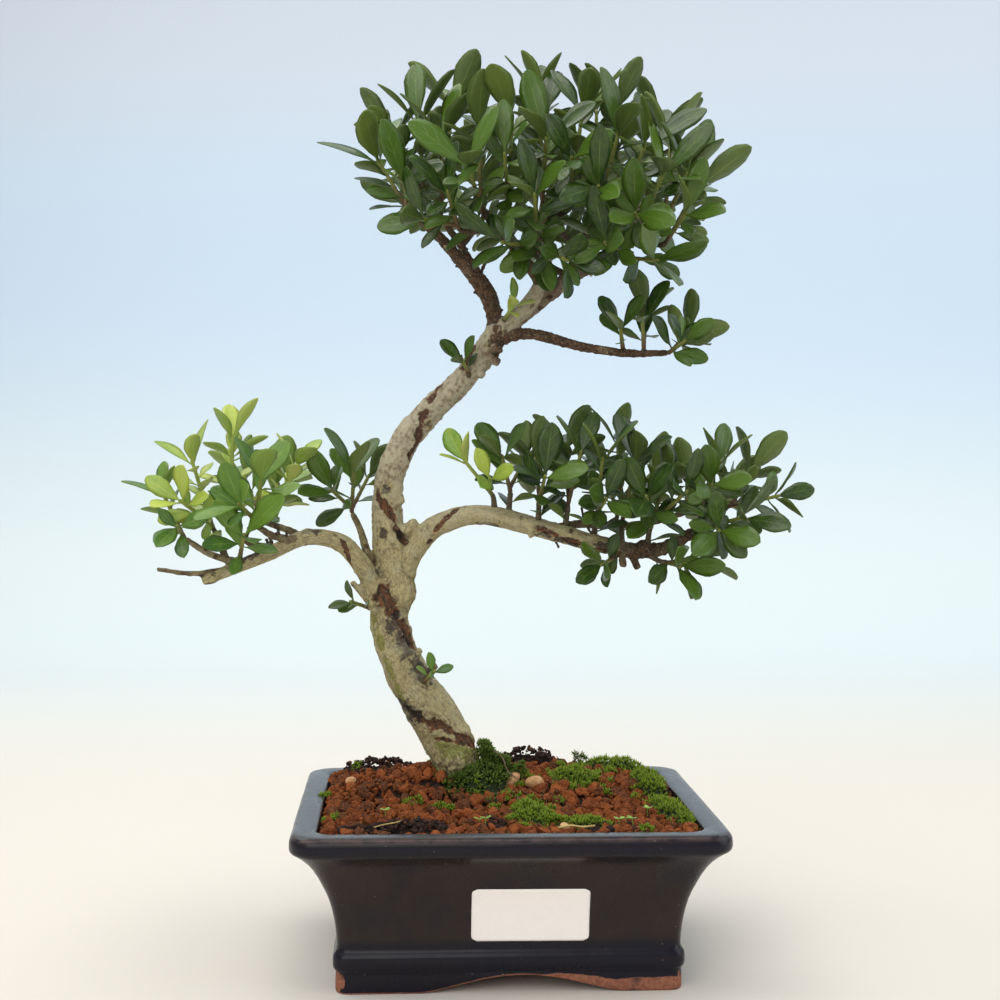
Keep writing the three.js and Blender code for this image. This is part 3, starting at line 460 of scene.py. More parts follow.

# %% [markdown]
# Where glaze runs thin it shows the clay's warm colour, and where it pools it turns navy. On the
# rim's outer top edge that thin line is also a painted highlight, and the rim's flat top carries a
# painted reflection of the bright sky. The lower edge of the foot was wiped before firing, so bare
# clay shows there, most of all on one side. These three amounts are worked out from the shape and
# stored as each point's look.

# %% Glaze thickness and bare clay
def glaze_look(points):
    x, y, z = points.T
    edge = (np.abs(y) > RIM_HALF[1] - 2.6) | (np.abs(x) > RIM_HALF[0] - 2.6)
    # A thin warm line along the rim's outer top edge: glaze running thin there, and also a painted
    # highlight
    thin = 0.75 * np.exp(-(((z - 67.2) / 0.45) ** 2)) * edge
    pooled = np.exp(-(((z - 63.4) / 3.0) ** 2)) + np.exp(-(((z - 19.0) / 2.2) ** 2)) + 0.9 * (z < 17)
    # The flat top of the rim takes a painted reflection of the bright sky, marked by a second number below
    # zero
    rim_painted_reflection = (z > 67.4) & ~edge
    low = z - arch_height(x)
    wiped = np.clip(1.2 - low / 0.9, 0, 1)
    slant = np.interp(x, (8, 22, 45, 72), (0.0, 2.6, 4.4, 5.6))
    wedge = np.clip((slant - low) * 1.5, 0, 1) * (x > 6) * (y < -50)
    chip = np.clip(4.5 - np.hypot(x + 71.5, z - 5.0), 0, 1) * (y < -50)
    under = (z < FOOT_HOLLOW_TOP + 0.3) * (np.abs(x) < RIM_HALF[0] - 20) * (np.abs(y) < RIM_HALF[1] - 20)
    bare = np.clip(wiped + wedge + chip + under, 0, 1)
    return np.stack([np.clip(thin, 0, 1), np.clip(pooled, 0, 1) - rim_painted_reflection, bare], 1)


def noise_of(points):
    return np.array([noise.noise(Vector(p)) for p in points])


def wobble(points, size, amount, seed):
    """A slow, even wobble, as of a thing shaped by hand; flat places lie at height 0."""
    if points.shape[1] == 2:
        points = np.column_stack([points, np.zeros(len(points))])
    return amount * noise_of(points / size + seed)


pot_points = np.concatenate(pot_rings)
pot_look = glaze_look(pot_points)
pot_points[:, :2] -= unit(pot_points[:, :2]) * np.clip(wobble(pot_points, 24.0, 0.35, 3.0), 0, 1)[:, None]
pot_chunk = chunk(pot_points, ring_faces(len(pot_rings), ring_size), look=pot_look)
pot_mesh = mesh_of("glazed_pot", [pot_chunk])
pot_ends = [range(ring_size)[::-1], range(len(pot_points) - ring_size, len(pot_points))]
print("bare clay on", round(float((pot_look[:, 2] > 0.5).mean()), 3), "of the points")

# %% [markdown]
# The two open ends of the loft, the floor and its underside, are closed with one face each. Two
# round drain holes are then cut with a boolean, the surest way to put a clean hole in a flat face.

# %% Floor and drain holes
DRAIN_X, DRAIN_RADIUS = 34.0, 6.0


def close_ends(mesh, ends):
    shape = bmesh.new()
    shape.from_mesh(mesh)
    shape.verts.ensure_lookup_table()
    for end in ends:
        shape.faces.new([shape.verts[i] for i in end])
    bmesh.ops.recalc_face_normals(shape, faces=shape.faces)
    shape.to_mesh(mesh)
    shape.free()


def with_modifiers(thing):
    """The mesh that an object's modifiers make of it."""
    bpy.context.view_layer.update()
    graph = bpy.context.evaluated_depsgraph_get()
    return bpy.data.meshes.new_from_object(thing.evaluated_get(graph))


def cut(target, cutters):
    """Cuts the cutters' meshes out of an object, and removes them."""
    for cutter in cutters:
        modifier = target.modifiers.new("cut", "BOOLEAN")
        modifier.object = cutter
        modifier.operation = "DIFFERENCE"
        modifier.solver = "EXACT"
    result = with_modifiers(target)
    target.modifiers.clear()
    target.data = result
    for cutter in cutters:
        bpy.data.objects.remove(cutter)


def bare_floor(mesh):
    """The clay round the drain holes is bare too, also at the points that the cut made."""
    for corner, look in zip(mesh.vertices, mesh.attributes["look"].data):
        x, y, z = millimetres(corner.co)
        if z < FLOOR_TOP + 1 and abs(x) < 64 and abs(y) < 48:
            look.vector = (0, 0, 1)


def upright_rod(x, radius, bottom, top):
    ends = [((x, 0, z), np.array([0, 0, 1.0]), radius) for z in (bottom, top)]
    return placed("drain", mesh_of("drain", [tube(ends, 32)]))


close_ends(pot_mesh, pot_ends)
pot = placed("glazed_pot", pot_mesh)
cut(pot, [upright_rod(x, DRAIN_RADIUS, 2, 20) for x in (-DRAIN_X, DRAIN_X)])
bare_floor(pot.data)
print("pot", triangles(pot.data), "triangles")

# %% [markdown]
# The glaze is nearly black, a brown that turns navy where it pools, with a soft gloss. Small pale
# specks and a few fine upright scratches break its surface.

# %% Glaze
def make_glaze():
    finish = Finish("navy_glaze", 0.26, Coat_Weight=0.08, Coat_Roughness=0.15, Specular_IOR_Level=0.2)
    thin, pooled, bare = finish.look()
    cloud = finish.noise(38, 4)
    brown = finish.layer((0.025, 0.016, 0.0135), (0.0145, 0.012, 0.0155), cloud, 0.35, 0.7)
    colour = finish.mix(finish.times(pooled, 0.85), brown, (0.0022, 0.0028, 0.0105))
    # Where the second number is below zero, on the rim's flat top, a light blue-grey is laid on: a painted
    # reflection of the bright sky
    colour = finish.layer(colour, (0.064, 0.067, 0.071), pooled, 0.0, -0.9)
    # The warm line along the rim's outer top edge is thin glaze and also a painted highlight
    edge = finish.times(thin, finish.ramp(finish.noise(160, 3), 0.3, 0.62))
    colour = finish.mix(edge, colour, (0.12, 0.072, 0.066))
    stretched = finish.node("Mapping", Vector=finish.place(), Scale=(1.0, 1.0, 0.12)).outputs[0]
    scratch = finish.ramp(finish.cells(150, vector=stretched), 0.035, 0.015)
    fleck = finish.ramp(finish.cells(330), 0.075, 0.045)
    rare = finish.ramp(finish.noise(60, 2), 0.5, 0.62)
    marks = finish.times(finish.maths("MAXIMUM", scratch, fleck), rare)
    colour = finish.mix(finish.times(marks, 0.8), colour, (0.42, 0.36, 0.30))
    grain = finish.noise(900, 4)
    clay = finish.layer((0.20, 0.075, 0.045), (0.33, 0.135, 0.08), grain, 0.3, 0.7)
    stained = finish.layer(clay, (0.07, 0.035, 0.03), finish.noise(120, 3), 0.5, 0.72)
    ragged = finish.plus(bare, finish.times(finish.maths("SUBTRACT", finish.noise(240, 4), 0.5), 0.55))
    bare_edge = finish.ramp(ragged, 0.42, 0.58)
    colour = finish.mix(bare_edge, colour, stained)
    gloss = finish.plus(0.2, finish.times(finish.noise(70, 3), 0.16))
    rough = finish.node("Mix", {"data_type": "FLOAT"}, i0=bare_edge, i2=gloss, i3=0.9).outputs[0]
    ripple = finish.bump(finish.noise(45, 3), 0.12, 0.002)
    normal = finish.bump(finish.times(grain, bare_edge), 0.5, 0.0006, ripple)
    normal = finish.bump(marks, 0.3, 0.0003, normal)
    return finish.done(colour, normal, rough)


pot.data.materials.clear()
pot.data.materials.append(make_glaze())
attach(pot, "root")
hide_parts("pot")
print("glaze on", pot.name)

# %% [markdown]
# A blank paper label is stuck to the front. It bends with the wall, so its grid of points is laid
# on the pot's own section, a hair in front of it.

# %% Label
LABEL_MIDDLE, LABEL_SIZE, LABEL_CORNER = (8.0, 32.7), (48.4, 22.8), 2.2
LABEL_THICK = 0.12


def wall_inset(z):
    insets, heights = zip(*OUTSIDE[4:])
    return np.interp(z, heights, insets)


def label_mesh():
    columns, rows = 40, 24
    u, v = np.meshgrid(np.linspace(-1, 1, columns + 1), np.linspace(-1, 1, rows + 1))
    half_x, half_z = np.array(LABEL_SIZE) / 2
    edge = np.clip((half_z - LABEL_CORNER - np.abs(v * half_z)) / -LABEL_CORNER, 0, 1)
    width = half_x - LABEL_CORNER * (1 - np.sqrt(1 - edge**2))
    x = LABEL_MIDDLE[0] + u * width
    z = LABEL_MIDDLE[1] + v * half_z - 0.006 * u * width
    back = -(RIM_HALF[1] - wall_inset(z))
    faces = ring_faces(rows + 1, columns + 1)
    faces = faces[(np.arange(len(faces)) % (columns + 1)) != columns]
    sheets = [np.stack([x, back - lift, z], -1).reshape(-1, 3) for lift in (LABEL_THICK + 0.05, 0.05)]
    count = len(sheets[0])
    rim = np.concatenate([
        np.arange(columns), np.arange(columns, count - 1, columns + 1),
        np.arange(count - 1, count - 1 - columns, -1), np.arange(count - 1 - columns, 0, -(columns + 1)),
    ])
    sides = np.stack([rim, rim + count, np.roll(rim, -1) + count, np.roll(rim, -1)], 1)
    return mesh_of("paper_label", [chunk(np.concatenate(sheets), faces, faces[:, ::-1] + count, sides)])


def make_paper():
    finish = Finish("label_paper", 0.55)
    fibre = finish.noise(700, 4)
    colour = finish.mix(fibre, (0.90, 0.84, 0.81), (0.98, 0.92, 0.89))
    return finish.done(colour, finish.bump(fibre, 0.1, 0.0002))


add_piece("paper_label", label_mesh(), [make_paper()])

# %% [markdown]
# Squares of plastic net keep the soil from falling through the drain holes. The plain solids have
# a few large holes; real net is finer, so thin strands are crossed over and under here.

# %% Drain nets
NET_SIZE, NET_PITCH, NET_STRAND = 22.0, 2.75, 0.42
NET_MIDDLE, NET_WEAVE = FLOOR_TOP + 0.8, 0.2


def net_mesh(name, x):
    strands = []
    for place in np.arange(-NET_SIZE / 2 + NET_STRAND, NET_SIZE / 2, NET_PITCH):
        for along in (0, 1):
            ends = []
            for side in (-1, 1):
                point = np.array([x, 0.0, NET_MIDDLE + (NET_WEAVE if along else -NET_WEAVE)])
                point[along] += side * (NET_SIZE / 2 - 0.1)
                point[1 - along] += place
                ends.append((point, np.eye(3)[along], NET_STRAND))
            strands.append(tube(ends, 6))
    return mesh_of(name, strands)


def make_netting():
    finish = Finish("black_net", 0.5)
    dust = finish.ramp(finish.noise(500, 3), 0.45, 0.75)
    return finish.done(finish.mix(dust, (0.012, 0.012, 0.013), (0.06, 0.045, 0.035)))


netting = make_netting()
for side, x in (("left", -DRAIN_X), ("right", DRAIN_X)):
    add_piece(f"net_{side}", net_mesh(f"net_{side}", x), [netting], [f"drain_mesh_{side}"])

# %% [markdown]
# ## The ground
#
# The soil is humped: it rises from the rim to the trunk's foot, and low cushions of moss and bare
# patches lie on it. All of them are oval domes, given by their middle, half length, half width,
# turn and rise. One function gives the ground's height anywhere, so that every stone, crumb and
# moss shoot can be set on it.

# %% Patches and the height of the ground
SOIL_TOP, GROUND_LEVEL = 59.5, 65.4
MOUNDS = [(-4, 32, 86, 44, 0, 7), (-21, 20, 25, 20, 0, 12.5)]
MOSS_PATCHES = {
    "moss_collar": [(-9, 12, 17, 16, 0, 15)],
    "moss_centre": [(34, 23, 15, 16, -15, 9.5)],
    "moss_front": [(10, -28, 8.5, 21, 5, 4.5), (29, -45, 15, 6.5, -4, 3)],
    "moss_right": [(56, 49, 19, 9, -12, 9.5), (68, 24, 8, 26, 4, 7.5), (71, -24, 6, 25, 10, 4)],
}
BARE_PATCHES = [(-55, 55, 21, 7, 0, 8), (16, 56.5, 18, 7, 0, 12.5), (-42, -53, 20, 7, 0, 3)]
WALL_INSET = 11.0


def patch_share(points, patch):
    """How far out in a patch a point lies: 0 in its middle, 1 at its edge."""
    middle_x, middle_y, half_length, half_width, turn, _ = patch
    tilt = math.radians(turn)
    x, y = points[:, 0] - middle_x, points[:, 1] - middle_y
    along = x * math.cos(tilt) + y * math.sin(tilt)
    across = y * math.cos(tilt) - x * math.sin(tilt)
    return np.hypot(along / half_length, across / half_width)


def dome_rise(points, patch):
    return patch[5] * np.interp(patch_share(points, patch), (0, 0.42, 0.8, 1), (1, 1, 0.62, 0))


def nearest_share(points, patches):
    return np.min([patch_share(points, patch) for patch in patches], axis=0)


def inside_any(points, patches, edge=1.0):
    return nearest_share(points, patches) < edge


def ground_height(points, patches):
    return GROUND_LEVEL + np.max([dome_rise(points, patch) for patch in patches], axis=0)


CRUMB_PATCHES = BARE_PATCHES + [
    (78, 8, 5, 13, 0, 0), (46, -54, 16, 7, 0, 0), (-7, -40, 6, 13, 10, 0),
    (-52, -50, 20, 9, 0, 0), (-66, 50, 13, 12, 0, 0),
]
RIGHT_CRUMBS = CRUMB_PATCHES[3:4]
ALL_PATCHES = [patch for group in MOSS_PATCHES.values() for patch in group] + BARE_PATCHES


def off_wall(points, room):
    half_x, half_y = RIM_HALF[0] - WALL_INSET - room, RIM_HALF[1] - WALL_INSET - room
    return (np.abs(points[:, 0]) < half_x) & (np.abs(points[:, 1]) < half_y)


def ground_at(x, y):
    return float(whole_ground(np.array([[x, y]]))[0])


def whole_ground(points):
    """The ground's height: its patches lie over its mounds."""
    patches = ground_height(points, ALL_PATCHES)
    mounds = np.maximum(ground_height(points, MOUNDS), patches)
    return np.where(inside_any(points, ALL_PATCHES), patches, mounds)


print("ground at the trunk", ground_height(np.array([[-21.0, 20]]), MOUNDS))

# %% [markdown]
# The soil fills the pot from its floor. Rings that follow the wall go up to the top, then shrink
# inward over the humps. The drain nets lie in shallow pockets, and the trunk stands in a hole.

# %% Trunk line
TRUNK = [
    (-14, 20, 44, 8.5), (-17, 19, 68, 9.6), (-22, 18, 86, 11.1), (-32, 18, 105, 10.9),
    (-41, 17, 118, 9.8), (-47, 16, 131, 8.8), (-51, 16, 145, 8.3), (-49, 15, 158, 9.5),
    (-49, 14, 170, 9), (-51.5, 13, 186, 7.2), (-52, 12, 200, 6.5), (-49.5, 11, 215, 6.3),
    (-42.5, 10, 229, 6.1), (-33, 9, 240, 5.9), (-20.5, 7, 252, 5.4), (-11, 6, 263.5, 5.6),
    (-3, 5, 275, 5.8),
]
HOLE_ROOM = 0.5


def trunk_hole():
    below = [row for row in stations_along(TRUNK, 40) if row[0][2] < 90]
    wider = [(at, along, radius + HOLE_ROOM) for at, along, radius, _ in below]
    foot, way, reach = wider[0]
    wider[0] = (foot - way * 0.4, way, reach)
    return placed("hole", mesh_of("hole", [tube(wider, 24)]))


def box_cutter(x, side, top):
    corners = np.array([(a, b, c) for c in (0, top) for b in (-1, 1) for a in (-1, 1)], float)
    corners[:, :2] *= side / 2
    corners[:, 0] += x
    faces = np.array([(0, 2, 3, 1), (4, 5, 7, 6), (0, 1, 5, 4), (2, 6, 7, 3), (0, 4, 6, 2), (1, 3, 7, 5)])
    return placed("pocket", mesh_of("pocket", [chunk(corners, faces)]))


# %% Soil body
def soil_mesh():
    rings = []
    for z in (12.3, 20, 30, 45, 52, 58, 61):
        inset = np.interp(z, (12, 30, 45, 58, 69), (25, 24, 19, 11.5, 11.0)) + 0.3
        rings.append(pot_ring(inset, z)[::3])
    edge = rings[-1][:, :2]
    for share in np.linspace(0.998, 0.05, 46):
        flat = edge * share
        rings.append(np.column_stack([flat, whole_ground(flat) - 1.6 + wobble(flat, 4.0, 0.9, 11.0)]))
    middles = (0, 0, 12.3), (0, 0, rings[-1][:, 2].mean())
    return mesh_of("soil_body", [closed_stack(rings, *middles)])


def make_soil():
    finish = Finish("dark_soil", 0.95, Specular_IOR_Level=0.25)
    coarse, fine = finish.noise(420, 5), finish.noise(1500, 4)
    colour = finish.layer((0.010, 0.006, 0.005), (0.05, 0.026, 0.018), coarse, 0.35, 0.65)
    lift = finish.plus(coarse, finish.times(fine, 0.4))
    return finish.done(colour, finish.bump(lift, 0.9, 0.0012))


dark_soil = make_soil()
soil = add_piece("soil_body", soil_mesh(), [dark_soil], ["soil"])
cut(soil, [box_cutter(x, NET_SIZE + 0.6, 13.9) for x in (-DRAIN_X, DRAIN_X)] + [trunk_hole()])
soil.data.materials.clear()
soil.data.materials.append(dark_soil)
print("soil cut,", triangles(soil.data), "triangles")

# %% [markdown]
# Fired clay granules are broken, not rolled: blocky, with flat sides and worn edges. A ball of
# triangles is pressed against a few random planes, which leaves flat sides. A dozen such stones,
# turned and stretched at random, are enough that no two look alike.

# %% Stones
def ball(level):
    shape = bmesh.new()
    bmesh.ops.create_icosphere(shape, subdivisions=level, radius=1)
    points = np.array([corner.co[:] for corner in shape.verts])
    faces = np.array([[corner.index for corner in face.verts] for face in shape.faces])
    shape.free()
    return points, faces


def random_turn(seed_numbers):
    """A turning matrix from three numbers between 0 and 1."""
    a, b, c = seed_numbers
    b, c = 2 * math.pi * b, 2 * math.pi * c
    w, x = math.sqrt(1 - a) * math.sin(b), math.sqrt(1 - a) * math.cos(b)
    y, z = math.sqrt(a) * math.sin(c), math.sqrt(a) * math.cos(c)
    return np.array([
        [1 - 2 * (y * y + z * z), 2 * (x * y - z * w), 2 * (x * z + y * w)],
        [2 * (x * y + z * w), 1 - 2 * (x * x + z * z), 2 * (y * z - x * w)],
        [2 * (x * z - y * w), 2 * (y * z + x * w), 1 - 2 * (x * x + y * y)],
    ])


def broken_stone(level, number):
    points, faces = ball(level)
    r = draws(60, 41, number)
    for i in range(10):
        plane = random_turn(r[3 * i : 3 * i + 3])[:, 2]
        reach = 0.43 + 0.32 * r[40 + i]
        over = points @ plane - reach
        points = points - np.where(over > 0, over, 0)[:, None] * plane * 0.94
    points = points * (1 + 0.16 * noise_of(points * 2.6 + number))[:, None]
    return points / np.abs(points).max(), faces


STONES = {level: [broken_stone(level, 10 * level + i) for i in range(12)] for level in (1, 2)}


def stone_chunk(level, place, size, number, seed):
    r = draws(10, seed, number)
    points, faces = STONES[level][int(r[0] * 12)]
    shaped = points * (1.0, 0.72 + 0.28 * r[1], 0.6 + 0.32 * r[2])
    tumbled = shaped @ random_turn(r[3:6]).T
    return chunk(tumbled * size + place, faces, look=(r[6], r[7], r[8]))


def settle(points, sizes, closeness):
    """Keeps the places that are far enough from every bigger stone, the biggest first."""
    kept = []
    for i in np.argsort(-sizes, kind="stable"):
        if kept:
            gaps = np.linalg.norm(points[kept] - points[i], axis=1)
            if np.any(gaps < closeness * (sizes[kept] + sizes[i])):
                continue
        kept.append(i)
    return np.array(kept)


def scatter(count, seed, room):
    r = draws(2 * count, seed, 1).reshape(-1, 2)
    flat = (r - 0.5) * 2 * (RIM_HALF[0] - WALL_INSET, RIM_HALF[1] - WALL_INSET)
    return flat[off_wall(flat, room)]


# %% Granules
TRUNK_FOOT, TRUNK_ROOM = (-17, 19), 10.5
TUCKED_SHARE, CRUMBLY_SHARE = 0.93, 0.93


def gaps_from(middle, flat):
    return np.hypot(*(flat - np.array(middle)).T)


def granules(count, seed, smallest, largest, closeness, sunk):
    flat = scatter(count, seed, largest * 0.6)
    crumbly = inside_any(flat, CRUMB_PATCHES) & (draws(len(flat), seed, 6) < CRUMBLY_SHARE)
    flat = flat[~(inside_any(flat, ALL_PATCHES, TUCKED_SHARE) | crumbly)]
    sizes = smallest + (largest - smallest) * draws(len(flat), seed, 2) ** 1.6
    keep = gaps_from(TRUNK_FOOT, flat) > TRUNK_ROOM + sizes
    flat, sizes = flat[keep], sizes[keep]
    kept = settle(flat, sizes, closeness)
    flat, sizes = flat[kept], sizes[kept]
    z = ground_height(flat, MOUNDS) + sizes * (0.35 - sunk) + 1.2 * (draws(len(flat), seed, 3) - 0.5)
    return np.column_stack([flat, z]), sizes


big_places, big_sizes = granules(9000, 51, 1.9, 4.3, 0.62, 0.25)
small_places, small_sizes = granules(9000, 52, 0.8, 1.8, 0.9, -0.5)
print(len(big_places), "large granules,", len(small_places), "small ones")


def make_granule():
    finish = Finish("fired_clay", 0.95, Specular_IOR_Level=0.12)
    tone, shade, _ = finish.look()
    grain, patch = finish.noise(1100, 5), finish.noise(300, 3)
    warm = finish.mix(tone, (0.12, 0.029, 0.009), (0.28, 0.077, 0.021))
    dull = finish.layer(warm, (0.065, 0.026, 0.015), shade, 0.66, 0.86)
    colour = finish.layer(dull, (0.045, 0.014, 0.008), patch, 0.45, 0.75, 0.75)
    colour = finish.layer(colour, finish.mix(0.4, colour, (0.46, 0.17, 0.065)), grain, 0.35, 0.75)
    lift = finish.plus(grain, finish.times(finish.cells(900), 0.5))
    return finish.done(colour, finish.bump(lift, 0.8, 0.0009))


def stone_chunks(places, sizes, seed):
    parts = []
    for i, (place, size) in enumerate(zip(places, sizes)):
        near = place[1] < -20 or size > 3.4
        parts.append(stone_chunk(2 if near and size > 1.9 else 1, place, size, i, seed))
    return parts


def faceted(mesh):
    """Leaves every facet flat, so that broken edges stay crisp."""
    mesh.polygons.foreach_set("use_smooth", np.zeros(len(mesh.polygons), bool))
    return mesh


fired_clay = make_granule()
front = big_places[:, 1] < -30
granule_groups = {
    "granules_front": stone_chunks(big_places[front], big_sizes[front], 61)
    + stone_chunks(small_places, small_sizes, 63),
    "granules_back": stone_chunks(big_places[~front], big_sizes[~front], 62),
}
for name, stones in granule_groups.items():
    add_piece(name, faceted(mesh_of(name, stones)), [fired_clay], ["akadama"])

# %% [markdown]
# On a few bare patches, finer and darker crumbs of potting soil show.

# %% Crumbs
def make_crumb():
    finish = Finish("soil_crumbs", 0.95, Specular_IOR_Level=0.25)
    tone, shade, _ = finish.look()
    grain = finish.noise(1300, 4)
    colour = finish.mix(tone, (0.010, 0.0055, 0.0055), (0.040, 0.020, 0.016))
    colour = finish.layer(colour, (0.20, 0.065, 0.028), shade, 0.9, 0.97)
    colour = finish.mix(finish.times(grain, 0.35), colour, (0.075, 0.042, 0.032))
    return finish.done(colour, finish.bump(grain, 0.8, 0.0007))


def crumbs(count, seed):
    """Crumbs in smooth little heaps, highest in the middle of each patch."""
    flat = scatter(count, seed, 2.5)
    flat = flat[nearest_share(flat, CRUMB_PATCHES) < 1 + 0.35 * wobble(flat, 4.0, 1.0, seed)]
    sizes = 0.5 + 1.3 * draws(len(flat), seed, 2) ** 2.4
    kept = settle(flat, sizes, 0.27)
    flat, sizes = flat[kept], sizes[kept]
    lumps = 0.45 + wobble(flat, 3.0, 1.0, seed + 2) + 0.5 * wobble(flat, 1.3, 1.0, seed + 3)
    heap = 4.5 * np.clip(1.2 - nearest_share(flat, CRUMB_PATCHES), 0, 0.6) * np.clip(lumps, 0, 1.4)
    z = whole_ground(flat) - 0.6 + 0.8 * draws(len(flat), seed, 3) + heap
    places = np.column_stack([flat, z])
    return [stone_chunk(1, places[i], size, i, seed) for i, size in enumerate(sizes)]


add_piece("soil_crumbs", faceted(mesh_of("soil_crumbs", crumbs(24000, 71))), [make_crumb()], ["soil"])

# %% [markdown]
# ## Moss
#
# A cushion of moss is hundreds of upright shoots, each a little star of pointed leaves. On a real
# cushion the eye reads the stars and the dark gaps between them. So every star is built: two rings
# of thin closed spikes that rise from a soft base, whose dark colour is painted shade in the gaps.

# %% Moss shoots
SPIKES = 8
SLOPE_STEP = 0.6
SPIKE_FACES = [(0, 1, 2), (1, 3, 2), (0, 4, 1), (0, 2, 4), (1, 4, 3), (4, 2, 3)]
SPIKE_ALONG = [0.0, 0.6, 0.6, 1.0, 0.4]


def moss_star(place, up, size, number, seed):
    """A star of thin closed spikes: an outer ring laid open and an inner ring more upright."""
    r = draws(2 * SPIKES + 4, seed, number)
    first = unit(np.cross(up, (0.3, 0.9, 0.1)))
    second = np.cross(up, first)
    points, faces = [], []
    for i in range(SPIKES):
        inner = i % 2
        angle = 2 * math.pi * (i / SPIKES + r[1]) + 0.7 * (r[2 + i] - 0.5)
        out = turned(first, second, angle)
        across = np.cross(up, out)
        rise = (0.95 if inner else 0.5) + 0.4 * (r[2 + SPIKES + i] - 0.5)
        tip = place + size * (out * math.cos(rise) * 1.05 + up * math.sin(rise) * (1.15 if inner else 0.9))
        root = place - up * size * 0.25
        wide = size * 0.2
        base = len(points)
        middle = root * 0.45 + tip * 0.55 - up * size * 0.02
        points += [root, middle + across * wide, middle - across * wide, tip, middle - up * wide * 0.55]
        faces += [[base + k for k in face] for face in SPIKE_FACES]
    return points, faces, r[0]


def stars(places, ways, sizes, shades, seed):
    """Many stars as one chunk; each point knows how far along its spike it is."""
    points, faces, looks = [], [], []
    for i, (place, up, size, shade) in enumerate(zip(places, ways, sizes, shades)):
        some, sides, tone = moss_star(place, up, size, i, seed)
        faces += [[len(points) + k for k in side] for side in sides]
        points += some
        looks += [(along, tone, shade) for along in SPIKE_ALONG * SPIKES]
    return chunk(np.array(points), np.array(faces), look=np.array(looks))


def cushion(patch):
    """The base of one cushion, dark with painted shade: a dome that is closed below, cut off at the wall.
    """
    middle_x, middle_y, half_length, half_width, turn, rise = patch
    tilt = math.radians(turn)
    angle = np.linspace(0, 2 * math.pi, 49)[:-1]
    rings = []
    for share in (1.0, 1.0, 0.93, 0.86, 0.78, 0.66, 0.54, 0.42, 0.28, 0.12):
        along, across = half_length * share * np.cos(angle), half_width * share * np.sin(angle)
        flat = np.stack([
            middle_x + along * math.cos(tilt) - across * math.sin(tilt),
            middle_y + along * math.sin(tilt) + across * math.cos(tilt),
        ], 1)
        half = np.array(RIM_HALF) - WALL_INSET - 0.8
        flat = np.clip(flat, -half, half)
        z = GROUND_LEVEL + dome_rise(flat, patch) - 0.9
        if len(rings) == 0:
            z = np.full(len(flat), SOIL_TOP + 0.5)
        rings.append(np.column_stack([flat, z]))
    middles = [(middle_x, middle_y, z) for z in (SOIL_TOP + 0.5, GROUND_LEVEL + rise - 0.9)]
    return closed_stack(rings, *middles, finish=1)


def slope(flat, patches, way):
    """How steeply the patches rise at each place, one way along the ground."""
    step = SLOPE_STEP * np.array(way)
    rise = ground_height(flat + step, patches) - ground_height(flat - step, patches)
    return rise / (2 * SLOPE_STEP)


COLLAR_MIDDLE = (-18, 18.7)


def moss_patch(patches, seed, pitch, size):
    """Stars on a cushion's skin, kept a pitch apart and leaning outward with its slope."""
    flat = scatter(60000, seed, 1.0)
    flat = flat[nearest_share(flat, patches) < 1.10 + 0.34 * wobble(flat, 4.5, 1.0, seed)][:9000]
    flat = flat[(gaps_from(COLLAR_MIDDLE, flat) > TRUNK_ROOM) & ~inside_any(flat, RIGHT_CRUMBS)]
    flat = flat[settle(flat, np.full(len(flat), pitch / 2), 1.0)]
    lumps = 0.9 * wobble(flat, 3.5, 1.0, seed + 5) + 0.7 * wobble(flat, 1.8, 1.0, seed + 6)
    low = np.maximum(ground_height(flat, patches), GROUND_LEVEL)
    z = np.maximum(low, whole_ground(flat)) + 0.35 + 1.1 * lumps
    slope_x, slope_y = (slope(flat, patches, way) for way in ((1, 0), (0, 1)))
    up = np.stack([-0.6 * slope_x, -0.6 * slope_y, np.ones(len(flat))], 1)
    up = unit(up + 0.5 * (draws(3 * len(flat), seed, 4).reshape(-1, 3) - 0.5))
    grown = size * (0.6 + 0.95 * draws(len(flat), seed, 5) ** 1.5) * (1 + 0.4 * lumps)
    shoots = stars(np.column_stack([flat, z]), up, grown, 0.5 + 0.5 * lumps, seed + 9)
    return [cushion(patch) for patch in patches] + [shoots], len(flat)


def make_moss(name, dark, bright, tip):
    finish = Finish(name, 0.7, Specular_IOR_Level=0.15)
    along, tone, _ = finish.look()
    colour = finish.layer(dark, bright, tone, 0.1, 0.95)
    colour = finish.layer(colour, dark, finish.noise(260, 3), 0.35, 0.7, 0.55)
    # Tips are lighter: partly the new growth's own colour, partly painted light. The roots turn near black:
    # painted shade deep in the cushion
    colour = finish.mix(finish.times(along, 0.7), colour, tip)
    colour = finish.layer(colour, (0.006, 0.009, 0.003), along, 0.25, 0.0)
    return finish.done(colour)


def make_moss_shade_base():
    finish = Finish("moss_shade_base", 0.95)
    lumps = finish.cells(900)
    # The base's dark green is painted shade, seen in the gaps between the stars
    colour = finish.mix(lumps, (0.008, 0.014, 0.004), (0.03, 0.05, 0.012))
    return finish.done(colour, finish.bump(lumps, 1.0, 0.001))


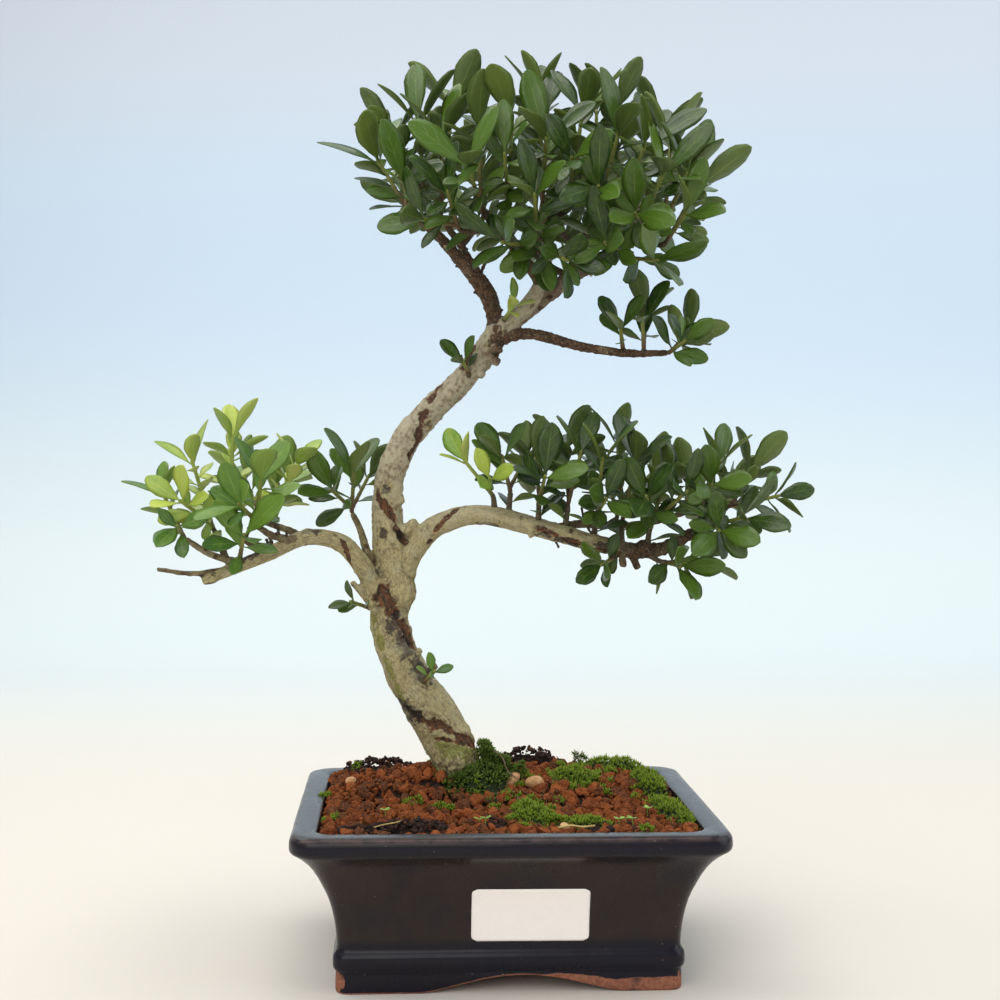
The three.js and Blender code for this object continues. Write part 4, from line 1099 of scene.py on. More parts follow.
moss_shade_base = make_moss_shade_base()
dark_moss = make_moss("dark_moss", (0.016, 0.036, 0.007), (0.065, 0.115, 0.015), (0.17, 0.25, 0.04))
bright_moss = make_moss("bright_moss", (0.028, 0.066, 0.005), (0.105, 0.195, 0.010), (0.29, 0.40, 0.035))
MOSS_GROWTH = {
    "moss_collar": (101, 1.5, 2.1, dark_moss), "moss_centre": (111, 1.45, 1.9, bright_moss),
    "moss_front": (121, 1.45, 1.8, bright_moss), "moss_right": (131, 1.45, 1.85, bright_moss),
}
for name, (seed, pitch, size, green) in MOSS_GROWTH.items():
    parts, count = moss_patch(MOSS_PATCHES[name], seed, pitch, size)
    add_piece(name + "_shoots", mesh_of(name + "_shoots", parts), [green, moss_shade_base], [name])
    print(count, "moss stars")

# %% [markdown]
# Small things make a ground look real: loose tufts of moss between the stones, taller sprigs that
# lean on the trunk's foot, four tan pebbles, dry twigs, hair-thin roots and a few seedlings.

# %% Tufts and sprigs
# Middle and reach of each tuft
LOOSE_TUFTS = [
    (-42, -8, 3.2), (-38, -6, 2.4), (-28, -14, 3.4), (-24, -18, 2.0), (-75, -38, 2.6), (-73, -32, 1.8),
    (-79, 10, 2.4), (2, -6, 2.8), (8, 4, 2.2), (47, 2, 2.4), (24, -8, 2.4), (-4, -16, 2.6), (60, 2, 2.6),
    (40, 42, 5), (30, 40, 3), (-30, 58, 3), (-66, 50, 3), (5, -50, 2.5), (55, -58, 3), (-12, -2, 3.2),
    (18, -19, 3.6), (2, -38, 3), (20, -33, 3.4), (17, -45, 4), (12, -8, 2.6), (12, 16, 3), (52, 36, 4),
    (38, 8, 3),
]
# Foot, top, seed, number of stars and width of each sprig
SPRIGS = [
    ((-1.5, 11, 75.5), (-8, 13, 91), 501, 230, 8.0), ((2, 9, 75), (0.5, 12, 85), 506, 90, 6.0),
    ((-20, 5.5, 72), (-20, 7, 79), 505, 70, 5.5), ((5, 10, 76), (9, 9, 82), 502, 40, 4.2),
    ((-13, 6, 74), (-14, 7.5, 81), 503, 60, 5.5), ((39, 49, 73), (40, 50, 79), 504, 16, 4.2),
]


def star_group(places, seed, size):
    middles, ways = zip(*places)
    sizes = [size * (0.7 + 0.6 * draw(seed, i)) for i in range(len(places))]
    return stars(middles, ways, sizes, [0.5] * len(places), seed)


def tuft_places(middle_x, middle_y, radius, seed):
    places = []
    for i in range(int(5 * radius)):
        r = draws(4, seed, i)
        reach, turn = radius * math.sqrt(r[0]), 2 * math.pi * r[1]
        out = np.array([math.cos(turn), math.sin(turn)])
        x, y = np.array([middle_x, middle_y]) + reach * out
        z = ground_at(x, y) + 1.4 + 1.5 * (1 - reach / radius) + r[2]
        places.append((np.array([x, y, z]), unit(np.array([*(0.5 * out * reach / radius), 1.0]))))
    return places


def sprig_places(foot, top, seed, count, wide):
    """Stars up a leaning sprig, as moss climbs on bark."""
    foot, top = np.array(foot, float), np.array(top, float)
    places = []
    for i in range(count):
        r = draws(4, seed, i)
        share = r[0] ** 1.3
        spread = wide * (1 - share) ** 0.5 + 0.9
        turn = 2 * math.pi * r[1]
        lump = 0.75 + 0.35 * math.sin(3 * turn + 7 * share)
        out = np.array([math.cos(turn), math.sin(turn), 0])
        off = out * spread * math.sqrt(r[2]) * lump
        places.append((foot + (top - foot) * share + off, unit(out + (0, 0, 1))))
    return places


loose = [place for i, tuft in enumerate(LOOSE_TUFTS) for place in tuft_places(*tuft, 400 + i)]
sprigs = [place for sprig in SPRIGS for place in sprig_places(*sprig)]
add_piece("loose_moss", mesh_of("loose_moss", [star_group(loose, 410, 1.5)]), [bright_moss])
add_piece("moss_sprigs", mesh_of("moss_sprigs", [star_group(sprigs, 420, 1.9)]), [dark_moss])


# %% Pebbles and dry twigs
def make_plain(name, colour, other, roughness=0.8):
    finish = Finish(name, roughness)
    grain = finish.noise(500, 4)
    colour = finish.layer(colour, other, grain, 0.35, 0.65)
    return finish.done(colour, finish.bump(grain, 0.5, 0.0004))


def litter_line(points, radius, sides=6):
    rows = stations_along([(*point, radius) for point in points], 5 * len(points))
    return tube(rows, sides)


PEBBLES = [(4.5, 7, 3.8, 7), (14.5, 4.5, 4.4, 8), (22, -55, 2.1, 9), (-68, 18, 2.6, 11)]
pebbles = []
for x, y, size, number in PEBBLES:
    z = ground_at(x, y) + 2.5 + 0.2 * size
    points, faces = ball(3)
    lumps = 0.12 * noise_of(points * 1.3 + number)
    shaped = points * (1 + lumps)[:, None] * (1.0, 0.85, 0.62)
    shaped = shaped @ random_turn(draws(3, 88, number) * (0.2, 0.3, 1)).T
    pebbles.append(chunk(shaped * size + np.array([x, y, z]), faces))
tan_pebble = make_plain("tan_pebble", (0.42, 0.21, 0.09), (0.62, 0.38, 0.18))
add_piece("pebbles", mesh_of("pebbles", pebbles), [tan_pebble])

TWIGS = [
    [(19, -58.5, 68.6), (24, -58, 69.3), (29, -58.2, 68.8), (34, -58, 69.2)],
    [(-56, -57, 68.9), (-52, -56, 69.8), (-47, -55, 70.4), (-44, -54, 71.2)],
]
twig_litter = [litter_line(points, radius) for points, radius in zip(TWIGS, (0.42, 0.28))]
dry_twig = make_plain("dry_twig", (0.42, 0.30, 0.10), (0.58, 0.45, 0.17))
add_piece("dry_twigs", mesh_of("dry_twigs", twig_litter), [dry_twig])


# %% Roots and seedlings
def root_points(x, y, seed):
    r = draws(12, seed, 3)
    points = []
    turn = 2 * math.pi * r[0]
    for i in range(6):
        points.append((x, y, ground_at(x, y) + 1.5 + 0.4 * math.sin(1.3 * i + seed)))
        turn += 1.6 * (r[1 + i] - 0.5)
        x, y = x + 2.1 * math.cos(turn), y + 2.1 * math.sin(turn)
    return points


CLIMBING_ROOT = [(-4, 8, 88), (0, 6.5, 85), (2.5, 5, 79), (7, 3, 76)]
roots = []
for i in range(26):
    row, column = divmod(i, 9)
    roots.append(litter_line(root_points(-6 + 3.1 * column, -8 + 2.4 * row, 600 + i), 0.11, 4))
roots.append(litter_line(CLIMBING_ROOT, 0.3, 5))
hair_root = make_plain("hair_root", (0.12, 0.08, 0.05), (0.26, 0.19, 0.12))
add_piece("hair_roots", mesh_of("hair_roots", roots), [hair_root])


def seedling(x, y, seed):
    """Two or three round seed leaves on a short stalk."""
    r = draws(8, seed, 1)
    foot = np.array([x, y, ground_at(x, y) + 1.0])
    top = foot + (r[0] - 0.5, r[1] - 0.5, 2.6 + r[2])
    parts = [litter_line([foot, (foot + top) / 2, top], 0.22, 5)]
    points, faces = ball(2)
    count = 3 if r[3] > 0.5 else 2
    for i in range(count):
        turn = 2 * math.pi * (i / count + r[4])
        c, s, rise = math.cos(turn), math.sin(turn), 0.35
        tilt = np.array([[c, s, rise], [-s, c, 0], [-rise * c, -rise * s, 1]])
        leaf = points * (1.35, 1.1, 0.22) @ tilt
        parts.append(chunk(leaf + top + 1.2 * np.array([c, s, rise]), faces))
    return parts


SEEDLINGS = [(48, -48), (51, -49), (45, -50), (-10, -46), (-13, -45.5), (60, -30), (-52, -30)]
seedlings = [part for i, (x, y) in enumerate(SEEDLINGS, 701) for part in seedling(x, y, i)]
seedling_green = make_plain("seedling_green", (0.16, 0.30, 0.035), (0.30, 0.44, 0.07), 0.5)
add_piece("seedlings", mesh_of("seedlings", seedlings), [seedling_green])

# %% [markdown]
# ## The wood
#
# The trunk and its branches are one living skin: where two stems meet, the bark flows from one
# into the other. Tubes that only cross would show a sharp crease there. So the tubes, knobs and
# cut stubs are first melted together on a fine grid of voxels, then smoothed a little.

# %% Branch lines
BRANCHES = {
    "right": [
        (-47, 14, 166, 5.6), (-38, 11, 181, 5), (-28, 5, 190, 4.8), (-10, -3, 194, 4.4),
        (13, -10, 189, 4.1), (40, -12, 182, 3.7), (64, -10, 179, 3.1), (82, -4, 186, 2.4),
        (100, 3, 198, 1.5),
    ],
    "right_back": [
        (20, -11, 188, 2), (33, 2, 190, 1.8), (47, 12, 189, 1.5), (66, 15, 190, 1.4),
        (84, 17, 195, 1.2),
    ],
    "left": [
        (-52, 15, 149, 4.8), (-62, 8, 169, 4.2), (-72, 1, 181, 3.9), (-87, -6, 184, 3.4),
        (-105, -12, 176, 2.9), (-127, -17, 167, 2.3),
    ],
    "left_bare": [(-118, -15, 171, 1.4), (-134, -18, 169, 1.1), (-149, -20, 171, 0.9)],
    "left_tip": [(-112, -13, 173, 1.6), (-126, -18, 177, 1.4), (-137, -21, 184, 1.2)],
    "left_up": [(-100, -10, 178, 1.8), (-113, -10, 183, 1.5), (-119, -9, 192, 1.2)],
    "left_back": [(-86, -6, 183, 1.8), (-96, 2, 187, 1.5), (-107, 10, 190, 1.2)],
    "left_front": [(-90, -8, 183, 1.8), (-100, -17, 185, 1.5), (-107, -24, 190, 1.2)],
    "riser": [(-53, 12, 158, 2.6), (-60, 14, 173, 2), (-64, 18, 186, 1.5), (-68, 20, 194, 1.2)],
    "upper_right": [
        (-5, 5, 272, 3), (11, 0, 274, 2.4), (32, -9, 268, 2), (52, -14, 265, 1.7),
        (69, -18, 265, 1.3),
    ],
    "crown_left": [
        (-4, 5, 274, 3.6), (-7, 4, 288, 3.2), (-19, -1, 304, 2.7), (-32, -8, 317, 2.1),
        (-43, -13, 325, 1.4),
    ],
    "crown_middle": [
        (-3, 5, 274, 4.2), (9, 1, 286, 3.5), (16, -4, 299, 2.8), (17, -8, 313, 2),
        (15, -8, 329, 1.4),
    ],
    "crown_front": [(15, -3, 296, 2.5), (6, -13, 306, 2.2), (-4, -22, 315, 1.7), (-12, -30, 322, 1.3)],
    "crown_right": [
        (4, 3, 280, 3.6), (18, 3, 291, 3.2), (31, -2, 300, 2.6), (46, -9, 309, 2.1),
        (67, -13, 321, 1.4),
    ],
    "crown_back_left": [(-4, 5, 278, 2.6), (-5, 18, 292, 2.2), (-13, 24, 306, 1.8), (-28, 18, 327, 1.4)],
    "crown_back_right": [
        (10, 4, 286, 2.6), (22, 16, 296, 2.3), (32, 26, 308, 1.9), (42, 25, 333, 1.4),
    ],
}


def route_length(points):
    places = [smooth_point(np.asarray(points, float)[:, :3], share) for share in np.linspace(0, 1, 201)]
    return float(np.linalg.norm(np.diff(places, axis=0), axis=1).sum())


branch_lengths = {name: route_length(points) for name, points in BRANCHES.items()}
print({name: round(length) for name, length in branch_lengths.items()})

# %% [markdown]
# Where branches were pruned, short stubs stay. Each is a place, a direction, a length and a
# radius. Knobs are where bark has closed over an old cut.

# %% Stubs and knobs
STUBS = [
    ((-43.5, 9, 187.5), (0.75, -0.5, 0.55), 6, 2.3), ((-39.5, 11, 127.5), (0.45, -0.3, 0.9), 7, 1.7),
    ((-33, 11, 122), (0.6, -0.5, 0.75), 6, 1.8), ((-57.5, 9, 152), (-0.68, -0.15, 0.8), 15.5, 1.7),
    ((-6.5, 1, 268), (0.6, -0.8, -0.25), 6, 2.1), ((50, -13.5, 178.5), (0.1, -0.45, -1), 7, 1.7),
    ((54.5, -12, 177.5), (0.5, -0.2, -1), 7, 1.5), ((-8, 3, 264), (0.8, -0.5, -0.5), 6, 1.9),
    ((-14, 4, 258), (0.8, -0.6, -0.5), 6, 1.6), ((-28.8, 8, 243.6), (0.7, -0.6, -0.4), 6, 1.3),
    ((-47.8, 10, 216), (0.9, -0.5, 0.1), 6, 1.2), ((-50, 11, 199), (0.9, -0.5, 0.2), 6, 1.5),
    ((-54, 10.5, 207), (-0.5, -0.9, 0.1), 6, 1.5), ((-127, -17, 167), (-0.95, -0.2, -0.35), 3.5, 2.3),
    ((-16, 3, 261), (0.85, -0.4, -0.2), 4.5, 1.8), ((14, -5, 296), (0.5, -0.5, 0.6), 5, 1.3),
    ((-24, -5, 309), (-0.6, -0.6, 0.3), 5, 1.1), ((35, -5, 302), (0.3, -0.6, -0.5), 5, 1.2),
    ((10, -12, 190), (0.1, -0.5, -0.9), 6, 1.4), ((-77, -4, 183), (-0.1, -0.6, 0.8), 5, 1.4),
]
KNOBS = [
    ((-45.8, 11, 159), 7.4), ((-46, 12, 168), 7.0), ((-38.5, 6.5, 234), 3.4),
    ((-27, 12, 96), 5.5), ((-21, 9, 83), 5.0), ((-53.5, 12.5, 178), 4.6),
    ((-24, 4, 247.5), 3.2), ((-3.5, 3, 277), 5.2), ((38, -13, 183), 3.9), ((60, -11, 180.5), 3.4),
    ((-86, -6.5, 184.5), 3.7), ((-19, 23, 74), 7.5), ((-12, 17, 72), 6.5),
]


def stub_tube(place, way, length, radius):
    start, way = np.array(place), unit(np.array(way))
    reaches = (-2, 1.25), (1.2, 1.12), (0.5 * length, 0.97), (0.97 * length, 0.9418), (length, 0.9)
    return tube([(start + way * reach, way, radius * swell) for reach, swell in reaches], 12)


def knob_ball(place, radius):
    points, faces = ball(3)
    return chunk(points * radius + np.array(place), faces)


def melted(name, chunks, voxel):
    """Melts crossing shapes together, and smooths the skin."""
    whole = placed(name, mesh_of(name, chunks))
    remesh = whole.modifiers.new("melt", "REMESH")
    remesh.mode, remesh.voxel_size = "VOXEL", voxel * 0.001
    smooth = whole.modifiers.new("smooth", "SMOOTH")
    smooth.factor, smooth.iterations = 0.5, 4
    result = with_modifiers(whole)
    bpy.data.objects.remove(whole)
    return result


# Smoothing makes thin branches thinner, so they start a little thicker
SMOOTHING_LOSS = 0.12
VOXEL = 0.68
wood_tubes = [tube(stations_along(TRUNK, 160), 32)]
for name, points in BRANCHES.items():
    rows = stations_along(points, max(8, int(branch_lengths[name] / 1.5)))
    wood_tubes.append(tube([(at, along, radius + SMOOTHING_LOSS) for at, along, radius, _ in rows], 18))
wood_tubes += [stub_tube(*stub) for stub in STUBS] + [knob_ball(*knob) for knob in KNOBS]
wood_mesh = melted("bonsai_wood", wood_tubes, VOXEL)
print("melted wood,", triangles(wood_mesh), "triangles")

# %% [markdown]
# Each point of the skin is then given its place in the bark: the stem it belongs to, how far along
# it is, and the angle round it. Bark marks can be laid out flat in these two measures, like a
# drawing wrapped round the stem.

# %% Bark places
lines = {"trunk": TRUNK, **BRANCHES}
line_names = list(lines)
line_rows = []
for which, name in enumerate(line_names):
    length = branch_lengths.get(name) or route_length(TRUNK)
    run = 0.0
    previous = None
    for at, along, radius, number in stations_along(lines[name], max(12, int(length / 0.5))):
        run += 0 if previous is None else float(np.linalg.norm(at - previous))
        previous = at
        line_rows.append((*at, *along, radius, number, which, run))
line_rows = np.array(line_rows)


def triples(values, field):
    """Three numbers from every point of a mesh, as rows."""
    numbers = np.empty(len(values) * 3)
    values.foreach_get(field, numbers)
    return numbers.reshape(-1, 3)


skin = millimetres(triples(wood_mesh.vertices, "co"))
skin_normals = triples(wood_mesh.vertex_normals, "vector")


def nearest_rows(points):
    """The row of the stem whose skin each point is nearest to."""
    tree = kdtree.KDTree(len(line_rows))
    for i, row in enumerate(line_rows):
        tree.insert(row[:3], i)
    tree.balance()
    found = np.empty(len(points), int)
    for k, point in enumerate(points):
        near = tree.find_n(Vector(point), 24)
        found[k] = min(near, key=lambda hit: hit[2] - line_rows[hit[1], 6])[1]
    return found


FRONT = np.array([0.0, -1, 0])


def bark_places(points):
    rows = line_rows[nearest_rows(points)]
    along = rows[:, 3:6]
    front = unit(FRONT - along * (along @ FRONT)[:, None])
    side = np.cross(along, front)
    out = points - rows[:, :3]
    angle = np.degrees(np.arctan2((out * side).sum(1), (out * front).sum(1)))
    return {
        "angle": angle, "radius": rows[:, 6], "number": rows[:, 7], "run": rows[:, 9],
        "stem": rows[:, 8].astype(int),
    }


bark = bark_places(skin)
print("points per stem", dict(zip(line_names, np.bincount(bark["stem"], minlength=len(line_names)))))

# %% [markdown]
# Training wire was once left on too long and bit into the bark. The scars it left wind upward as
# grooves with swollen lips. Each has a half width and a depth in millimetres, and a line of (place
# along the stem, angle round it). The depth fades at both ends.

# %% Scars
SCARS = [
    ("trunk", 2.5, 1.3, [
        (3.9, -112), (3.50, -54), (2.94, -28), (2.70, 0), (2.48, 19), (2.24, 38), (2.0, 70), (1.8, 110),
    ]),
    ("trunk", 1.0, 0.5, [(2.50, -34), (2.43, -12), (2.35, 3), (2.22, 19), (2.1, 36)]),
    ("trunk", 3.0, 1.25, [
        (8.4, -95), (7.75, -60), (7.3, -40), (6.81, -20), (6.44, 12), (5.69, 46), (5.2, 70), (4.8, 100),
    ]),
    ("trunk", 1.8, 0.9, [
        (10.4, -85), (10.07, -41), (9.80, -3), (9.43, 23), (8.97, 42), (8.73, 48), (8.4, 80),
    ]),
    ("trunk", 1.8, 0.9, [
        (13.8, -95), (13.46, -56), (12.98, -19), (12.50, 10), (11.99, 50), (11.54, 54), (11.2, 90),
    ]),
    ("trunk", 1.9, 1.6, [(8.98, 38), (8.85, 43), (8.7, 47)]),
    ("trunk", 1.6, 0.6, [(15.25, -90), (15.01, -60), (14.61, -51), (14.3, -30)]),
    ("right", 1.3, 0.5, [(3.9, -10), (4.4, 22), (5.0, 40), (5.6, 50)]),
    ("right", 1.4, 0.7, [(2.62, -91), (2.38, -23), (2.02, 11), (1.52, 31), (1.2, 60)]),
    ("left", 1.0, 0.45, [(1.2, -80), (1.7, -30), (2.1, 20), (2.4, 60)]),
]
# Flat marks on each stem: place along it, angle round it, half length and half width
ALGAE = {
    "trunk": [
        (2.08, 8, 3.6, 8.5), (2.3, -14, 2.4, 4.0), (1.9, 36, 3.0, 5.0), (6.17, -53, 5, 2.2),
        (5.56, -41, 7, 2.6), (4.67, -40, 7, 2.4), (4.03, -43, 6, 2.2), (7.4, 70, 6, 3),
    ],
}
DARK_MARKS = {
    "trunk": [
        (5.93, 9, 4, 3.5), (5.21, 33, 7, 4.5), (4.27, 43, 7, 4.5), (10.36, -9, 3.6, 2.2),
        (9.0, -20, 3, 2), (15.89, 17, 3, 3.5), (15.49, 1, 3, 2.5), (15.0, -55, 2.5, 2.5),
        (12.7, 35, 2.4, 2.4), (1.0, 0, 7, 9), (0.9, -60, 6, 8), (8.85, 42, 2.6, 2.4),
        (3.5, -56, 7, 5), (3.2, -38, 4, 3.5), (7.9, -62, 3, 3), (6.3, 20, 3, 2.5),
    ],
    "right": [
        (4.18, 33, 4, 1.6), (4.42, 41, 4, 1.6), (4.65, 48, 3, 1.5), (5.02, 4, 4, 1.6),
        (5.45, -9, 3, 1.5), (3.2, 60, 6, 2.5),
    ],
    "left": [(2.9, 40, 4, 2), (4.2, 60, 5, 2)],
}


def on_stem(stem, number, angle):
    """The point on a stem's skin at a place along it and an angle round it, and the way along."""
    points = np.asarray(lines[stem], float)
    share = number / (len(points) - 1)
    at, along = smooth_point(points[:, :3], share), direction(points[:, :3], share)
    front = unit(FRONT - along * along.dot(FRONT))
    reach = np.interp(number, range(len(points)), points[:, 3])
    return at + reach * turned(front, np.cross(along, front), math.radians(angle)), along


ragged = noise_of(skin / 1.9) + 0.6 * noise_of(skin / 0.8)
slow = noise_of(skin / 5.5 + 12)


def scar_relief(stem, half_width, depth, controls):
    numbers, angles = np.array(controls, float).T
    steps = np.linspace(0, len(numbers) - 1, 80)
    order = np.arange(len(numbers))
    numbers, angles = np.interp(steps, order, numbers), np.interp(steps, order, angles)
    line = np.array([on_stem(stem, number, angle)[0] for number, angle in zip(numbers, angles)])
    gaps = np.linalg.norm(skin[:, None] - line, axis=2)
    nearest = gaps.argmin(1)
    share = nearest / 79
    width = np.maximum(half_width * (0.95 + 1.1 * slow) * (1 + 0.6 * ragged), 0.3)
    gap = gaps[np.arange(len(skin)), nearest] / width
    fade = np.clip(np.minimum(share, 1 - share) * 6, 0, 1)
    fade *= np.clip(0.85 + 1.5 * slow + 0.2 * half_width, 0.25, 1)
    groove = np.exp(-(gap**4))
    lips = np.exp(-(((gap - 1.6) / 0.5) ** 2))
    return fade * depth * (0.45 * lips - groove), fade * groove


scar_lift, scar_amount = np.zeros(len(skin)), np.zeros(len(skin))
for scar in SCARS:
    lift, amount = scar_relief(*scar)
    scar_lift += lift
    scar_amount = np.maximum(scar_amount, amount)


def marked(marks):
    """How deep in any of the marks each point of the skin lies, with ragged edges."""
    amount = np.zeros(len(skin))
    for stem, number, angle, half_length, half_width in [(s, *row) for s in marks for row in marks[s]]:
        middle, along = on_stem(stem, number, angle)
        off = skin - middle
        run = off @ along
        beside = np.linalg.norm(off - run[:, None] * along, axis=1)
        near = np.exp(-((run / half_length) ** 2 + (beside / half_width) ** 2))
        amount = np.maximum(amount, np.clip(1.5 * near + 0.7 * ragged * (near > 0.08) - 0.3, 0, 1))
    return amount


def share_of(amount, least=0.5):
    return round(float((amount > least).mean()), 3)


algae, dark = marked(ALGAE), marked(DARK_MARKS)
print("scarred", share_of(scar_amount), "algae", share_of(algae), "dark", share_of(dark))

# %% [markdown]
# The rest of the relief is the bark's own: slow lumps where the trunk swelled, upright wrinkles,
# cracks at the foot where the bark is oldest, and the little raised dots through which bark
# breathes, called lenticels. All are real shifts of the skin, not only shading.

# %% Bark relief
def cell_of(points):
    return np.array([noise.voronoi(Vector(p))[0][0] for p in points])


def belongs_to(stem):
    return bark["stem"] == line_names.index(stem)


unrolled = np.column_stack([
    np.cos(np.radians(bark["angle"])) * bark["radius"],
    np.sin(np.radians(bark["angle"])) * bark["radius"],
    bark["run"] + 300 * bark["stem"],
])
height = np.clip(bark["run"] / 250, 0, 1) * belongs_to("trunk")
low = np.clip((92 - skin[:, 2]) / 14, 0, 1) * belongs_to("trunk")
lumps = noise_of(unrolled / (7, 7, 10)) * 0.75 + noise_of(unrolled / 3.4 + 9) * 0.28
wrinkles = noise_of(unrolled / (1.6, 1.6, 3.4) + 31) * 0.2
crack_lines = np.clip(1 - np.abs(noise_of(unrolled / (5.5, 5.5, 2.4) + 5)) / 0.2, 0, 1)
crack_amount = crack_lines * np.clip(1.4 * low + 0.5 * algae, 0, 1)
dots = np.clip(0.45 - cell_of(unrolled / (2.4, 2.4, 2.0) + 3), 0, 0.45)
dots *= np.clip(0.3 + 0.8 * height, 0, 1) * (noise_of(unrolled / 7 + 60) > -0.1)
warts = np.clip(0.38 - cell_of(unrolled / (5.2, 5.2, 4.6) + 17), 0, 0.38) * 2.0
fibres = scar_amount * noise_of(unrolled / (0.9, 0.9, 2.6) + 77) * 0.9
print("with a lenticel", share_of(dots, 0.1), "cracked", share_of(crack_amount))

# %% [markdown]
# The limbs of the crown, the far end of the right branch and the side of the top fork are covered
# in rough red-brown bark. There the skin is knobbly all over.

# %% Brown limbs and raised skin
BROWN_STEMS = {
    "crown_left": 0.95, "crown_middle": 0.2, "crown_front": 0.9, "crown_right": 0.6, "crown_back_left": 1.0,
    "crown_back_right": 0.9, "upper_right": 1.0, "right_back": 0.8, "riser": 0.5,
    "left_front": 0.6, "left_back": 0.6, "left_up": 0.6, "left_tip": 0.5, "left_bare": 0.6,
}
brown = np.array([BROWN_STEMS.get(name, 0) for name in line_names])[bark["stem"]]
right_end = 0.85 * belongs_to("right") * np.clip((bark["number"] - 4.4) / 1.2, 0, 1)
fork = belongs_to("trunk") * np.clip((bark["number"] - 14.9) / 0.5, 0, 1)
fork *= np.clip((bark["angle"] + 25) / 30 + ragged, 0, 0.9)
brown = np.maximum.reduce([brown, right_end, fork]) * (0.8 + 0.4 * noise_of(unrolled / 6 + 40))
relief = lumps + wrinkles - 0.75 * crack_amount + 0.85 * dots + 0.8 * warts + fibres
relief *= np.clip((bark["radius"] - 1.2) / 5, 0, 1)
relief += scar_lift * np.clip(bark["radius"] / 5, 0.3, 1)
relief = np.where(bark["radius"] < 1.9, 0.25 * (lumps + wrinkles), relief)
knobbly = 0.8 * noise_of(unrolled / 2.3 + 71) + 0.5 * noise_of(unrolled / 1.2 + 83)
relief += brown * knobbly * np.clip(bark["radius"] / 3, 0.35, 1)
shaped = skin + skin_normals * relief[:, None]
wood_mesh.vertices.foreach_set("co", metres(shaped).ravel())
wood_mesh.polygons.foreach_set("use_smooth", np.ones(len(wood_mesh.polygons), bool))
print("relief from", relief.min().round(2), "to", relief.max().round(2), "mm")

# %% [markdown]
# The finish reads three things at every point: how scarred or freshly cut it is, how green or red,
# and how pale. It also reads a place along the grain, for streaks, and where the lenticels are.

# %% What the finish reads
# Stubs of these lengths are old cuts, whose ends have weathered like the bark
WEATHERED_LENGTHS = (6, 7, 4.5)
fresh_cut = np.zeros(len(skin))
for place, way, length, radius in STUBS:
    if length in WEATHERED_LENGTHS:
        continue
    end = np.array(place) + unit(np.array(way)) * length
    gap = np.linalg.norm(skin - end, axis=1) / (radius * 0.95)
    fresh_cut = np.maximum(fresh_cut, np.exp(-(gap**4)))
upper = np.clip((skin[:, 2] - 175) / 60, 0, 1)
thin = np.clip((3.2 - bark["radius"]) / 1.8, 0, 1)
red = np.maximum(0.35 * thin, brown)
wood_look = np.column_stack([
    np.clip(scar_amount, 0, 1) - fresh_cut,
    np.maximum(algae, 0.3 * low) - red - 0.35 * (warts > 0.25) * (1 - algae),
    np.clip(0.54 + 0.35 * upper * (1 - thin) - 0.65 * dark - 0.3 * crack_amount, 0, 1),
])
twist = np.radians(bark["angle"]) + bark["run"] * 0.02
across, ahead = np.cos(twist) * bark["radius"], np.sin(twist) * bark["radius"]
store(wood_mesh, "look", wood_look)
store(wood_mesh, "grain", np.column_stack([across, ahead, bark["run"] * 0.18]))
store(wood_mesh, "dots", np.clip(dots * 5, 0, 1) * np.clip(0.25 + 1.2 * height, 0, 1), "FLOAT")
wood_mesh.update()
print("freshly cut points", int((fresh_cut > 0.5).sum()), "darkest", wood_look[:, 2].min().round(2))

# %% [markdown]
# Bark colour changes along the tree: greenish grey at the foot, pale buff higher up, red-brown on
# the thin limbs of the crown. Scars are raw red-brown, and cut ends are pale wood.

